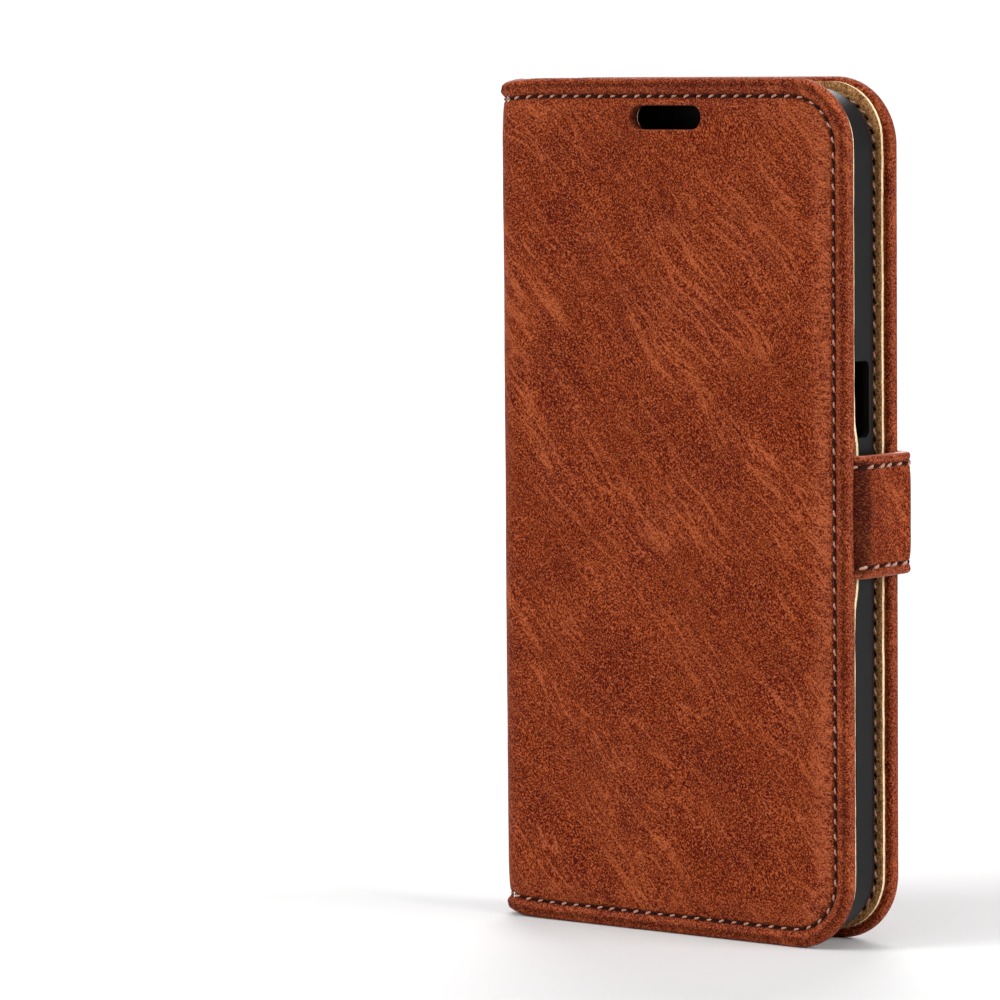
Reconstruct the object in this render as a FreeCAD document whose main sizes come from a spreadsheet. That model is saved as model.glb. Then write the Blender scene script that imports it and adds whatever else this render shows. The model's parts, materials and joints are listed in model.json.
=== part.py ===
"""Phone wallet case: a folding leather cover with a hard tray inside and a magnetic strap.

The case stands closed on its bottom edges. +Z is up, X runs from the spine (low X) to the free
edge (high X), and Y runs from the front cover (low Y) to the back cover (high Y). The origin is on
the ground, at the middle of the space that the whole closed case takes up, strap included.
"""
import FreeCAD, Part
import math
import os
import re

import Sketcher

V = FreeCAD.Vector

# Driving dimensions in millimetres: (name, size, what it is).
DRIVING = [
    ("phone_height", 143.4, "the phone that the tray holds, tall"),
    ("phone_width", 70.5, "the phone, wide"),
    ("phone_depth", 6.8, "the phone, thick"),
    ("phone_corner", 9.5, "the phone's corner radius"),
    ("tray_fit", 0.25, "play between phone and tray wall"),
    ("tray_wall", 1.2, "tray side wall"),
    ("tray_floor", 1.0, "tray floor"),
    ("tray_rim_drop", 0.2, "tray rim below the phone's glass"),
    ("tray_back_round", 3.2, "rounding of the tray's outer back edge"),
    ("tray_inside_round", 2.0, "rounding where floor meets wall"),
    ("tray_lip", 0.5, "how far the tray shows inside the camera window"),
    ("end_margin", 1.85, "tray to the covers' top and bottom edges"),
    ("free_margin", 1.8, "tray to the covers' free edge"),
    ("cover_corner", 12.0, "covers' corner radius"),
    ("cover_leather", 0.9, "outer leather"),
    ("padding", 0.5, "foam under the leather"),
    ("board", 1.0, "stiffening board"),
    ("lining", 0.6, "microfibre lining"),
    ("bead_width", 1.6, "leather turned round the board's edge"),
    ("bead_round", 1.1, "rounding of the turned edge"),
    ("board_fit", 0.1, "play between board and turned edge"),
    ("back_lining_inset", 1.7, "back lining's cut edge from the cover's edge"),
    ("front_lining_inset", 0.5, "front lining's cut edge from the cover's edge"),
    ("adhesive", 0.4, "double-sided tape under the tray"),
    ("adhesive_margin", 8.0, "tape's edge in from the tray's edge"),
    ("glass_gap", 0.25, "phone glass to the pockets of the closed cover"),
    ("crease_gap", 0.3, "play between a crease roll and the cover beside it"),
    ("spine_leather", 0.7, "leather over the spine"),
    ("spine_stiffener", 0.4, "card strip in the spine"),
    ("spine_lining", 0.4, "lining inside the spine"),
    ("spine_fit", 0.3, "spine lining to the tray"),
    ("seam_inset", 3.2, "stitch line from the cover's edge"),
    ("thread", 0.5, "thread width"),
    ("thread_depth", 0.35, "thread height in its groove"),
    ("groove", 0.9, "stitch groove width"),
    ("groove_depth", 0.45, "stitch groove depth"),
    ("window_width", 26.7, "camera window"),
    ("window_height", 17.3, "camera window"),
    ("window_shift", 4.15, "window's centre from the phone's centre line, towards the spine"),
    ("window_drop", 18.0, "window's upper edge below the case's top"),
    ("window_round", 5.7, "window corners on the camera side"),
    ("window_round_small", 3.7, "window corners on the flash side"),
    ("slot_width", 15.6, "earpiece slot"),
    ("slot_height", 4.4, "earpiece slot"),
    ("slot_drop", 6.9, "slot's centre below the case's top"),
    ("pocket_money", 0.4, "money pocket panel"),
    ("pocket_card", 0.25, "card pocket panel"),
    ("pocket_start", 3.0, "pockets in from the cover's spine edge"),
    ("pocket_edge", 2.6, "pockets in from the cover's free edge"),
    ("pocket_foot", 5.0, "pockets up from the bottom edge"),
    ("pocket_corner", 9.0, "pocket panels' corner radius"),
    ("money_height", 119.0, "money pocket, tall"),
    ("card_height", 99.0, "rear card pocket, tall"),
    ("card_step", 12.5, "each card pocket is this much lower than the one behind it"),
    ("strap_width", 21.2, "strap, measured up the case"),
    ("strap_rise", 0.0, "strap's centre above the case's mid-height"),
    ("strap_reach", 32.5, "strap's end in from the free edge, on the back cover"),
    ("strap_corner", 2.7, "strap's end corners"),
    ("strap_leather", 0.8, "strap's outer leather"),
    ("strap_lining", 0.8, "strap's inner layer"),
    ("strap_play", 0.3, "strap to the covers it closes over"),
    ("strap_seam_inset", 2.0, "stitch line from the strap's edge"),
    ("tab_length", 12.0, "strap's root glued inside the front cover"),
    ("tab_thick", 0.6, "strap's root"),
    ("tab_fit", 0.1, "play round the strap's root"),
    ("magnet_long", 16.0, "closing magnet across the strap"),
    ("magnet_tall", 12.0, "closing magnet up the case"),
    ("magnet_thick", 0.6, "closing magnet"),
    ("keeper_long", 18.0, "steel keeper plate in the back cover"),
    ("keeper_tall", 14.0, "steel keeper plate"),
    ("keeper_thick", 0.4, "steel keeper plate"),
    ("key_long", 13.2, "tray's cut-out at the phone's power key"),
    ("key_rise", 19.9, "power key's centre above mid-height"),
    ("volume_long", 26.0, "tray's cut-out at the volume keys"),
    ("volume_rise", 27.0, "volume keys' centre above mid-height"),
    ("key_depth", 4.2, "key cut-outs, down from the tray's rim"),
    ("port_wide", 36.0, "tray's cut-out at the phone's sockets"),
    ("past", 1.0, "how far a cut runs past what it cuts"),
]

# Sizes that follow from the driving ones: (name, expression).
DERIVED = [
    ("cover", "cover_leather + padding + board + lining"),
    ("turned", "cover_leather + padding + board"),
    ("spine_margin", "spine_leather + spine_stiffener + spine_lining + spine_fit"),
    ("tray_reach", "phone_width / 2 + tray_fit + tray_wall"),
    ("case_width", "2 * tray_reach + free_margin + spine_margin"),
    ("case_height", "phone_height + 2 * (tray_fit + tray_wall + end_margin)"),
    ("pockets", "pocket_money + 3 * pocket_card"),
    ("case_depth", "2 * cover + adhesive + tray_floor + phone_depth + glass_gap + pockets"),
    ("face", "case_depth / 2"),
    ("free", "case_width / 2"),
    ("roll", "cover / 2"),
    ("crease_x", "roll - free"),
    ("crease_y", "face - roll"),
    ("cover_start", "crease_x + roll + crease_gap"),
    ("tray_centre", "spine_margin + tray_reach - free"),
    ("tray_back", "face - cover - adhesive"),
    ("tray_rim", "tray_back - tray_floor - phone_depth + tray_rim_drop"),
    ("middle", "case_height / 2"),
    ("window_right", "tray_centre - window_shift + window_width / 2"),
    ("window_left", "window_right - window_width"),
    ("window_high", "case_height - window_drop"),
    ("window_low", "window_high - window_height"),
    ("strap", "strap_leather + strap_lining"),
    ("strap_low", "middle + strap_rise - strap_width / 2"),
    ("strap_high", "strap_low + strap_width"),
    ("strap_x", "free + strap_play + strap_lining"),
    ("strap_y", "face + strap_play + strap_lining"),
    ("strap_end", "free - strap_reach"),
    ("strap_clear", "strap / 2 + crease_gap"),
    ("tab_back", "turned - face"),
    ("root_y", "tab_back - tab_thick / 2"),
    ("magnet_x", "(strap_end + free) / 2"),
    ("datum_x", "-(strap_play + strap) / 2"),
    ("datum_y", "-(strap_play + strap) / 2"),
]

doc = FreeCAD.newDocument("phone_wallet_case")
sheet = doc.addObject("Spreadsheet::Sheet", "Dimensions")
NAMES = [row[0] for row in DRIVING] + [row[0] for row in DERIVED]


def fill_sheet():
    """Write the driving dimensions, and below them the sizes that follow from them."""
    for number, (name, size, meaning) in enumerate(DRIVING, start=1):
        sheet.set(f"A{number}", name)
        sheet.set(f"B{number}", str(size))
        sheet.set(f"C{number}", meaning)
        sheet.setAlias(f"B{number}", name)
    for number, (name, expression) in enumerate(DERIVED, start=len(DRIVING) + 2):
        sheet.set(f"A{number}", name)
        sheet.set(f"B{number}", "=" + expression)
        sheet.setAlias(f"B{number}", name)
    doc.recompute()


def bound(text):
    """The expression with each size's name pointed at its cell in the sheet."""
    return re.sub(r"[a-z_]+", lambda word: f"Dimensions.{word[0]}" if word[0] in NAMES else word[0], text)


def size(text):
    """What an expression of the sheet's sizes comes to now."""
    return float(sheet.evalExpression(bound(text)))


PARTS = []


def new_body(label):
    """A body for one sub-part, set at the case's datum."""
    body = doc.addObject("PartDesign::Body", label)
    body.Label = label
    body.AllowCompound = True
    body.setExpression("Placement.Base.x", bound("datum_x"))
    body.setExpression("Placement.Base.y", bound("datum_y"))
    PARTS.append(body)
    return body


def sketch_on(body, role, height):
    """A sketch on one of the body's origin planes, moved to a place along the plane's normal.

    On XZ_Plane the normal is -Y, so height is a Y place and is turned round here.
    """
    sketch = body.newObject("Sketcher::SketchObject", f"{body.Name}_sketch")
    plane = next(item for item in body.Origin.OriginFeatures if item.Role == role)
    sketch.AttachmentSupport = [(plane, "")]
    sketch.MapMode = "FlatFace"
    offset = f"-({height})" if role == "XZ_Plane" else height
    sketch.setExpression("AttachmentOffset.Base.z", bound(offset))
    return sketch


def hold(sketch, kind, geometry, point, text):
    """Hold one point of a sketch at a distance from the sketch's origin."""
    place = sketch.addConstraint(Sketcher.Constraint(kind, -1, 1, geometry, point, size(text)))
    sketch.setExpression(f"Constraints[{place}]", bound(text))


def hold_radius(sketch, geometry, text):
    """Hold an arc's or a circle's radius."""
    place = sketch.addConstraint(Sketcher.Constraint("Radius", geometry, size(text)))
    sketch.setExpression(f"Constraints[{place}]", bound(text))


def line(sketch, start, end, direction=None):
    """Add a line, held level or upright where a direction is given."""
    number = sketch.addGeometry(Part.LineSegment(V(*start, 0), V(*end, 0)), False)
    if direction:
        sketch.addConstraint(Sketcher.Constraint(direction, number))
    return number


def arc(sketch, centre, radius, first, last):
    """Add an arc that runs anticlockwise between two angles in degrees."""
    circle = Part.Circle(V(*centre, 0), V(0, 0, 1), radius)
    curve = Part.ArcOfCircle(circle, math.radians(first), math.radians(last))
    return sketch.addGeometry(curve, False)


def join(sketch, kinds, steps):
    """Join the ends of neighbouring edges: steps are (edge, its end, next edge, its end)."""
    for first, first_end, second, second_end in steps:
        smooth = "arc" in (kinds[first], kinds[second])
        rule = "Tangent" if smooth else "Coincident"
        sketch.addConstraint(Sketcher.Constraint(rule, first, first_end, second, second_end))


def rounded_box(sketch, left, right, low, high, corners=(None, None, None, None)):
    """A rectangle whose corners, from low left anticlockwise, may each have a radius."""
    x0, x1, y0, y1 = size(left), size(right), size(low), size(high)
    radii = [size(text) if text else 0.0 for text in corners]
    low_left, low_right, high_right, high_left = radii
    runs = [
        ((x0 + low_left, y0), (x1 - low_right, y0), "Horizontal", 1, (x1 - low_right, y0 + low_right), 270),
        ((x1, y0 + low_right), (x1, y1 - high_right), "Vertical", 2, (x1 - high_right, y1 - high_right), 0),
        ((x1 - high_right, y1), (x0 + high_left, y1), "Horizontal", 3, (x0 + high_left, y1 - high_left), 90),
        ((x0, y1 - high_left), (x0, y0 + low_left), "Vertical", 0, (x0 + low_left, y0 + low_left), 180),
    ]
    kinds, sides = [], []
    for start, end, direction, corner, centre, angle in runs:
        sides.append(line(sketch, start, end, direction))
        kinds.append("line")
        if corners[corner]:
            number = arc(sketch, centre, radii[corner], angle, angle + 90)
            kinds.append("arc")
            hold_radius(sketch, number, corners[corner])
    count = len(kinds)
    base = sides[0]
    steps = [(base + i, 2, base + (i + 1) % count, 1) for i in range(count)]
    join(sketch, {base + i: kind for i, kind in enumerate(kinds)}, steps)
    hold(sketch, "DistanceY", sides[0], 1, low)
    hold(sketch, "DistanceX", sides[1], 1, right)
    hold(sketch, "DistanceY", sides[2], 1, high)
    hold(sketch, "DistanceX", sides[3], 1, left)


def stadium(sketch, centre_x, centre_y, length, height):
    """A slot with round ends."""
    half = f"({length} - {height}) / 2"
    x0, x1 = size(f"{centre_x} - {half}"), size(f"{centre_x} + {half}")
    y0, radius = size(centre_y), size(f"{height} / 2")
    line(sketch, (x0, y0 - radius), (x1, y0 - radius), "Horizontal")
    arc(sketch, (x1, y0), radius, 270, 450)
    line(sketch, (x1, y0 + radius), (x0, y0 + radius), "Horizontal")
    arc(sketch, (x0, y0), radius, 90, 270)
    join(sketch, ["line", "arc", "line", "arc"], [(0, 2, 1, 1), (1, 2, 2, 1), (2, 2, 3, 1), (3, 2, 0, 1)])
    hold(sketch, "DistanceX", 1, 3, f"{centre_x} + {half}")
    hold(sketch, "DistanceY", 1, 3, centre_y)
    hold(sketch, "DistanceX", 3, 3, f"{centre_x} - {half}")
    hold_radius(sketch, 1, f"{height} / 2")


def disc(sketch, centre_x, centre_y, radius):
    """A circle."""
    circle = Part.Circle(V(size(centre_x), size(centre_y), 0), V(0, 0, 1), size(radius))
    number = sketch.addGeometry(circle, False)
    hold(sketch, "DistanceX", number, 3, centre_x)
    hold(sketch, "DistanceY", number, 3, centre_y)
    hold_radius(sketch, number, radius)


def band(sketch, open_end, closed_end, low, high, corner, width):
    """A U-shaped band: two level arms from the open end, and an upright with round corners.

    The corner radius is the band's outer one. The closed end may lie on either side.
    """
    x0, x1, y0, y1 = size(open_end), size(closed_end), size(low), size(high)
    outer, wide = size(corner), size(width)
    side = 1.0 if x1 > x0 else -1.0
    inner = outer - wide
    bend = x1 - side * outer

    def turn(centre_y, radius, first):
        """A quarter arc, mirrored where the closed end is on the left."""
        if side > 0:
            return arc(sketch, (bend, centre_y), radius, first, first + 90)
        return arc(sketch, (bend, centre_y), radius, 90 - first, 180 - first)

    top_arm = line(sketch, (x0, y1), (bend, y1), "Horizontal")
    top_turn = turn(y1 - outer, outer, 0)
    upright = line(sketch, (x1, y1 - outer), (x1, y0 + outer), "Vertical")
    low_turn = turn(y0 + outer, outer, 270)
    low_arm = line(sketch, (bend, y0), (x0, y0), "Horizontal")
    low_end = line(sketch, (x0, y0), (x0, y0 + wide), "Vertical")
    low_inside = line(sketch, (x0, y0 + wide), (bend, y0 + wide), "Horizontal")
    low_inside_turn = turn(y0 + outer, inner, 270)
    inside = line(sketch, (x1 - side * wide, y0 + outer), (x1 - side * wide, y1 - outer), "Vertical")
    top_inside_turn = turn(y1 - outer, inner, 0)
    top_inside = line(sketch, (bend, y1 - wide), (x0, y1 - wide), "Horizontal")
    top_end = line(sketch, (x0, y1 - wide), (x0, y1), "Vertical")
    arcs = (top_turn, low_turn, low_inside_turn, top_inside_turn)
    kinds = {number: "arc" if number in arcs else "line" for number in range(12)}
    upper, lower = (2, 1) if side > 0 else (1, 2)
    join(sketch, kinds, [
        (top_arm, 2, top_turn, upper), (top_turn, lower, upright, 1),
        (upright, 2, low_turn, upper), (low_turn, lower, low_arm, 1),
        (low_arm, 2, low_end, 1), (low_end, 2, low_inside, 1),
        (low_inside, 2, low_inside_turn, lower), (low_inside_turn, upper, inside, 1),
        (inside, 2, top_inside_turn, lower), (top_inside_turn, upper, top_inside, 1),
        (top_inside, 2, top_end, 1), (top_end, 2, top_arm, 1),
    ])
    sketch.addConstraint(Sketcher.Constraint("Coincident", top_turn, 3, top_inside_turn, 3))
    sketch.addConstraint(Sketcher.Constraint("Coincident", low_turn, 3, low_inside_turn, 3))
    hold(sketch, "DistanceX", top_arm, 1, open_end)
    hold(sketch, "DistanceX", low_end, 1, open_end)
    hold(sketch, "DistanceX", upright, 1, closed_end)
    hold(sketch, "DistanceY", top_arm, 1, high)
    hold(sketch, "DistanceY", low_arm, 1, low)
    hold(sketch, "DistanceY", low_inside, 1, f"{low} + {width}")
    hold_radius(sketch, top_turn, corner)
    hold_radius(sketch, low_turn, corner)


def add(body, sketch, length):
    """Pad a sketch along its normal and check that the body grew."""
    before = body.Shape.Volume if body.Shape and not body.Shape.isNull() else 0.0
    feature = body.newObject("PartDesign::Pad", f"{body.Name}_pad")
    feature.Profile = sketch
    feature.setExpression("Length", bound(length))
    doc.recompute()
    if feature.Shape.Volume <= before:
        raise RuntimeError(f"{body.Label}: a pad added nothing")
    return feature


def cut(body, sketch, length):
    """Pocket a sketch along its normal and check that the body shrank."""
    before = body.Shape.Volume
    feature = body.newObject("PartDesign::Pocket", f"{body.Name}_pocket")
    feature.Profile = sketch
    feature.Reversed = True
    feature.setExpression("Length", bound(length))
    doc.recompute()
    if feature.Shape.Volume >= before:
        raise RuntimeError(f"{body.Label}: a pocket cut nothing")
    return feature


def soften(body, feature, radius, chosen):
    """Fillet the edges that a test of an edge picks."""
    edges = [f"Edge{i}" for i, edge in enumerate(feature.Shape.Edges, start=1) if chosen(edge)]
    fillet = body.newObject("PartDesign::Fillet", f"{body.Name}_fillet")
    fillet.Base = (feature, edges)
    fillet.setExpression("Radius", bound(radius))
    doc.recompute()
    return fillet


def spread(edge, axis):
    """The lowest and highest place of an edge along an axis, in the body's own frame."""
    places = [getattr(point, axis) for point in edge.discretize(5)]
    return min(places), max(places)


def lies_at(edge, axis, place):
    """Whether an edge lies wholly at one place along an axis."""
    low, high = spread(edge, axis)
    return abs(low - place) < 1e-4 and abs(high - place) < 1e-4


def panel(body, upper, thick, left="cover_start", right="free", inset="0", corner="cover_corner"):
    """A flat layer of a cover: square at the spine, round at its two free corners."""
    sketch = sketch_on(body, "XZ_Plane", upper)
    radius = f"{corner} - ({inset})"
    rounded_box(sketch, left, f"{right} - ({inset})", inset, f"case_height - ({inset})",
                (None, radius, radius, None))
    return add(body, sketch, thick)


def cut_box(body, role, start, length, left, right, low, high, corners=(None, None, None, None)):
    """Cut a box, which may have round corners, out of a body."""
    sketch = sketch_on(body, role, start)
    rounded_box(sketch, left, right, low, high, corners)
    return cut(body, sketch, length)


def cut_window(body, upper, thick, inset="0"):
    """Cut the camera window through a layer of the back."""
    wide, small = f"window_round - ({inset})", f"window_round_small - ({inset})"
    cut_box(body, "XZ_Plane", f"{upper} + past", f"{thick} + 2 * past",
            f"window_left + ({inset})", f"window_right - ({inset})",
            f"window_low + ({inset})", f"window_high - ({inset})", (small, wide, wide, small))


def cut_slot(body, upper, thick):
    """Cut the earpiece slot through a layer of the front cover."""
    sketch = sketch_on(body, "XZ_Plane", f"{upper} + past")
    stadium(sketch, "tray_centre", "case_height - slot_drop", "slot_width", "slot_height")
    cut(body, sketch, f"{thick} + 2 * past")


def turned_leather(label, upper, recess, groove_top):
    """A cover's outer leather: a slab with its edge turned round the board, and a stitch groove.

    upper is the slab's high-Y face, recess the Y place where the hollow for foam and board starts,
    and groove_top the Y place where the stitch groove starts.
    """
    body = new_body(label)
    slab = panel(body, upper, "turned")
    ends = (size(upper), size(f"{upper} - turned"))
    start = size("cover_start")

    def rim(edge):
        """The slab's edges all round, apart from the end at the spine."""
        on_face = any(lies_at(edge, "y", place) for place in ends)
        return on_face and not lies_at(edge, "x", start)

    soften(body, slab, "bead_round", rim)
    hollow = sketch_on(body, "XZ_Plane", recess)
    radius = "cover_corner - bead_width"
    rounded_box(hollow, "cover_start - past", "free - bead_width", "bead_width",
                "case_height - bead_width", (None, radius, radius, None))
    cut(body, hollow, "padding + board")
    seam = sketch_on(body, "XZ_Plane", groove_top)
    inset = "seam_inset - groove / 2"
    band(seam, "cover_start - past", f"free - ({inset})", inset, f"case_height - ({inset})",
         f"cover_corner - ({inset})", "groove")
    cut(body, seam, "groove_depth")
    return body


def cover_thread(label, upper):
    """A cover's seam: thread along the stitch groove."""
    body = new_body(label)
    seam = sketch_on(body, "XZ_Plane", upper)
    inset = "seam_inset - thread / 2"
    band(seam, "cover_start", f"free - ({inset})", inset, f"case_height - ({inset})",
         f"cover_corner - ({inset})", "thread")
    add(body, seam, "thread_depth")
    return body


def layer(label, upper, thick, inset):
    """A plain sheet of a cover."""
    body = new_body(label)
    panel(body, upper, thick, inset=inset)
    return body


def back_cover():
    """The back cover, from its outer leather to the tray."""
    leather = turned_leather("back_leather", "face", "face - cover_leather", "face")
    cut_window(leather, "face", "turned")
    cover_thread("back_seam_thread", "face - groove_depth + thread_depth")

    inside = "bead_width + board_fit"
    padding = layer("back_padding", "face - cover_leather", "padding", inside)
    cut_window(padding, "face - cover_leather", "padding")
    board = layer("back_board", "face - cover_leather - padding", "board", inside)
    cut_window(board, "face - cover_leather - padding", "board")
    cut_box(board, "XZ_Plane", "face - cover_leather - padding", "keeper_thick",
            "magnet_x - keeper_long / 2 - board_fit", "magnet_x + keeper_long / 2 + board_fit",
            "strap_low + (strap_width - keeper_tall) / 2 - board_fit",
            "strap_low + (strap_width + keeper_tall) / 2 + board_fit")
    keeper = new_body("keeper_plate")
    plate = sketch_on(keeper, "XZ_Plane", "face - cover_leather - padding")
    rounded_box(plate, "magnet_x - keeper_long / 2", "magnet_x + keeper_long / 2",
                "strap_low + (strap_width - keeper_tall) / 2", "strap_low + (strap_width + keeper_tall) / 2")
    add(keeper, plate, "keeper_thick")
    lining = layer("back_lining", "face - turned", "lining", "back_lining_inset")
    cut_window(lining, "face - turned", "lining")


def tray():
    """The hard tray that grips the phone, and the tape that holds it to the lining."""
    tape = new_body("tray_adhesive")
    sheet_outline = sketch_on(tape, "XZ_Plane", "tray_back + adhesive")
    rounded_box(sheet_outline, "tray_centre - tray_reach + adhesive_margin",
                "tray_centre + tray_reach - adhesive_margin",
                "end_margin + adhesive_margin", "window_low - adhesive_margin")
    add(tape, sheet_outline, "adhesive")

    body = new_body("phone_tray")
    outer = sketch_on(body, "XZ_Plane", "tray_back")
    radius = "phone_corner + tray_fit + tray_wall"
    rounded_box(outer, "tray_centre - tray_reach", "tray_centre + tray_reach",
                "end_margin", "case_height - end_margin", (radius,) * 4)
    block = add(body, outer, "tray_back - tray_rim")
    back = size("tray_back")
    soften(body, block, "tray_back_round", lambda edge: lies_at(edge, "y", back))
    cavity = sketch_on(body, "XZ_Plane", "tray_back - tray_floor")
    inner = "phone_corner + tray_fit"
    rounded_box(cavity, "tray_centre - tray_reach + tray_wall", "tray_centre + tray_reach - tray_wall",
                "end_margin + tray_wall", "case_height - end_margin - tray_wall", (inner,) * 4)
    hollow = cut(body, cavity, "tray_back - tray_floor - tray_rim + past")
    floor = size("tray_back - tray_floor")
    soften(body, hollow, "tray_inside_round", lambda edge: lies_at(edge, "y", floor))
    cut_window(body, "tray_back", "tray_floor", "tray_lip")

    rim, depth = "tray_rim - past", "tray_rim + key_depth"
    round_low = "tray_wall"
    for start, rise, length in (
        ("tray_centre + tray_reach - tray_wall - past", "key_rise", "key_long"),
        ("tray_centre - tray_reach - past", "volume_rise", "volume_long"),
    ):
        cut_box(body, "YZ_Plane", start, "tray_wall + 2 * past", rim, depth,
                f"middle + {rise} - {length} / 2", f"middle + {rise} + {length} / 2",
                (None, round_low, round_low, None))
    cut_box(body, "XY_Plane", "end_margin - past", "tray_wall + 2 * past",
            "tray_centre - port_wide / 2", "tray_centre + port_wide / 2", rim, depth,
            (None, None, round_low, round_low))


def spine():
    """The spine between the two creases: leather with a roll at each crease, card and lining."""
    body = new_body("spine_leather")
    slab = sketch_on(body, "XY_Plane", "0")
    rounded_box(slab, "-free", "spine_leather - free", "-crease_y", "crease_y")
    add(body, slab, "case_height")
    for place in ("crease_y", "-crease_y"):
        roll = sketch_on(body, "XY_Plane", "0")
        disc(roll, "crease_x", place, "roll")
        add(body, roll, "case_height")
    for low in ("seam_inset - groove / 2", "case_height - seam_inset - groove / 2"):
        cut_box(body, "YZ_Plane", "-free - past", "past + groove_depth",
                "-crease_y", "crease_y", low, f"{low} + groove")

    thread = new_body("spine_seam_thread")
    for centre in ("seam_inset", "case_height - seam_inset"):
        run = sketch_on(thread, "YZ_Plane", "-free + groove_depth - thread_depth")
        rounded_box(run, "-crease_y", "crease_y", f"{centre} - thread / 2", f"{centre} + thread / 2")
        add(thread, run, "thread_depth")

    reach = "(crease_y - roll - crease_gap)"
    for label, start, thick, inset in (
        ("spine_stiffener", "spine_leather - free", "spine_stiffener", "bead_width"),
        ("spine_lining", "spine_leather + spine_stiffener - free", "spine_lining", "back_lining_inset"),
    ):
        strip = new_body(label)
        outline = sketch_on(strip, "YZ_Plane", start)
        rounded_box(outline, f"-{reach}", reach, inset, f"case_height - {inset}")
        add(strip, outline, thick)


def tab_notch(body, upper, thick):
    """Cut room for the strap's root out of a layer of the front cover."""
    cut_box(body, "XZ_Plane", upper, thick, "free - tab_length - tab_fit", "free + past",
            "strap_low - tab_fit", "strap_high + tab_fit")


def front_cover():
    """The front cover, from its outer leather to the pockets inside it."""
    leather = turned_leather("front_leather", "tab_back", "tab_back", "groove_depth - face")
    cut_slot(leather, "tab_back", "turned")
    tab_notch(leather, "tab_back", "tab_thick")
    cover_thread("front_seam_thread", "groove_depth - face")

    inside = "bead_width + board_fit"
    padding = layer("front_padding", "cover_leather + padding - face", "padding", inside)
    cut_slot(padding, "cover_leather + padding - face", "padding")
    board = layer("front_board", "tab_back", "board", inside)
    cut_slot(board, "tab_back", "board")
    tab_notch(board, "tab_back", "tab_thick")
    lining = layer("front_lining", "cover - face", "lining", "front_lining_inset")
    cut_slot(lining, "cover - face", "lining")

    pocket("money_pocket", "cover - face + pocket_money", "pocket_money", "money_height")
    for number, label in enumerate(("card_pocket_rear", "card_pocket_middle", "card_pocket_front")):
        upper = f"cover - face + pocket_money + {number + 1} * pocket_card"
        pocket(label, upper, "pocket_card", f"card_height - {number} * card_step")


def pocket(label, upper, thick, height):
    """A pocket panel sewn to the front lining, open along its top."""
    body = new_body(label)
    sketch = sketch_on(body, "XZ_Plane", upper)
    rounded_box(sketch, "cover_start + pocket_start", "free - pocket_edge", "pocket_foot",
                f"pocket_foot + {height}", (None, "pocket_corner", None, None))
    add(body, sketch, thick)


def strap_root():
    """The strap's root, glued between the front cover's board and lining, with its crease roll."""
    body = new_body("strap_tab")
    flat = sketch_on(body, "XZ_Plane", "tab_back")
    rounded_box(flat, "free - tab_length", "strap_x", "strap_low", "strap_high")
    add(body, flat, "tab_thick")
    roll = sketch_on(body, "XY_Plane", "strap_low")
    disc(roll, "strap_x", "root_y", "strap / 2")
    add(body, roll, "strap_width")


def strap_side():
    """The part of the strap that spans the case's free side."""
    start = "root_y + strap_clear"
    inner_end = "strap_y - strap / 2 - tab_fit"
    for label, left, right, end in (
        ("strap_side_leather", "strap_x", "strap_x + strap_leather", "strap_y"),
        ("strap_side_lining", "strap_x - strap_lining", "strap_x", inner_end),
    ):
        body = new_body(label)
        slab = sketch_on(body, "XY_Plane", "strap_low")
        rounded_box(slab, left, right, start, end)
        add(body, slab, "strap_width")
        if end == "strap_y":
            roll = sketch_on(body, "XY_Plane", "strap_low")
            disc(roll, "strap_x", "strap_y", "strap / 2")
            add(body, roll, "strap_width")
            for low in ("strap_low + strap_seam_inset - groove / 2",
                        "strap_high - strap_seam_inset - groove / 2"):
                cut_box(body, "YZ_Plane", "strap_x + strap_leather - groove_depth",
                        "groove_depth + past", f"{start} - past", "strap_y", low, f"{low} + groove")
    thread = new_body("strap_side_thread")
    for centre in ("strap_low + strap_seam_inset", "strap_high - strap_seam_inset"):
        run = sketch_on(thread, "YZ_Plane", "strap_x + strap_leather - groove_depth")
        rounded_box(run, start, "strap_y", f"{centre} - thread / 2", f"{centre} + thread / 2")
        add(thread, run, "thread_depth")


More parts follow.
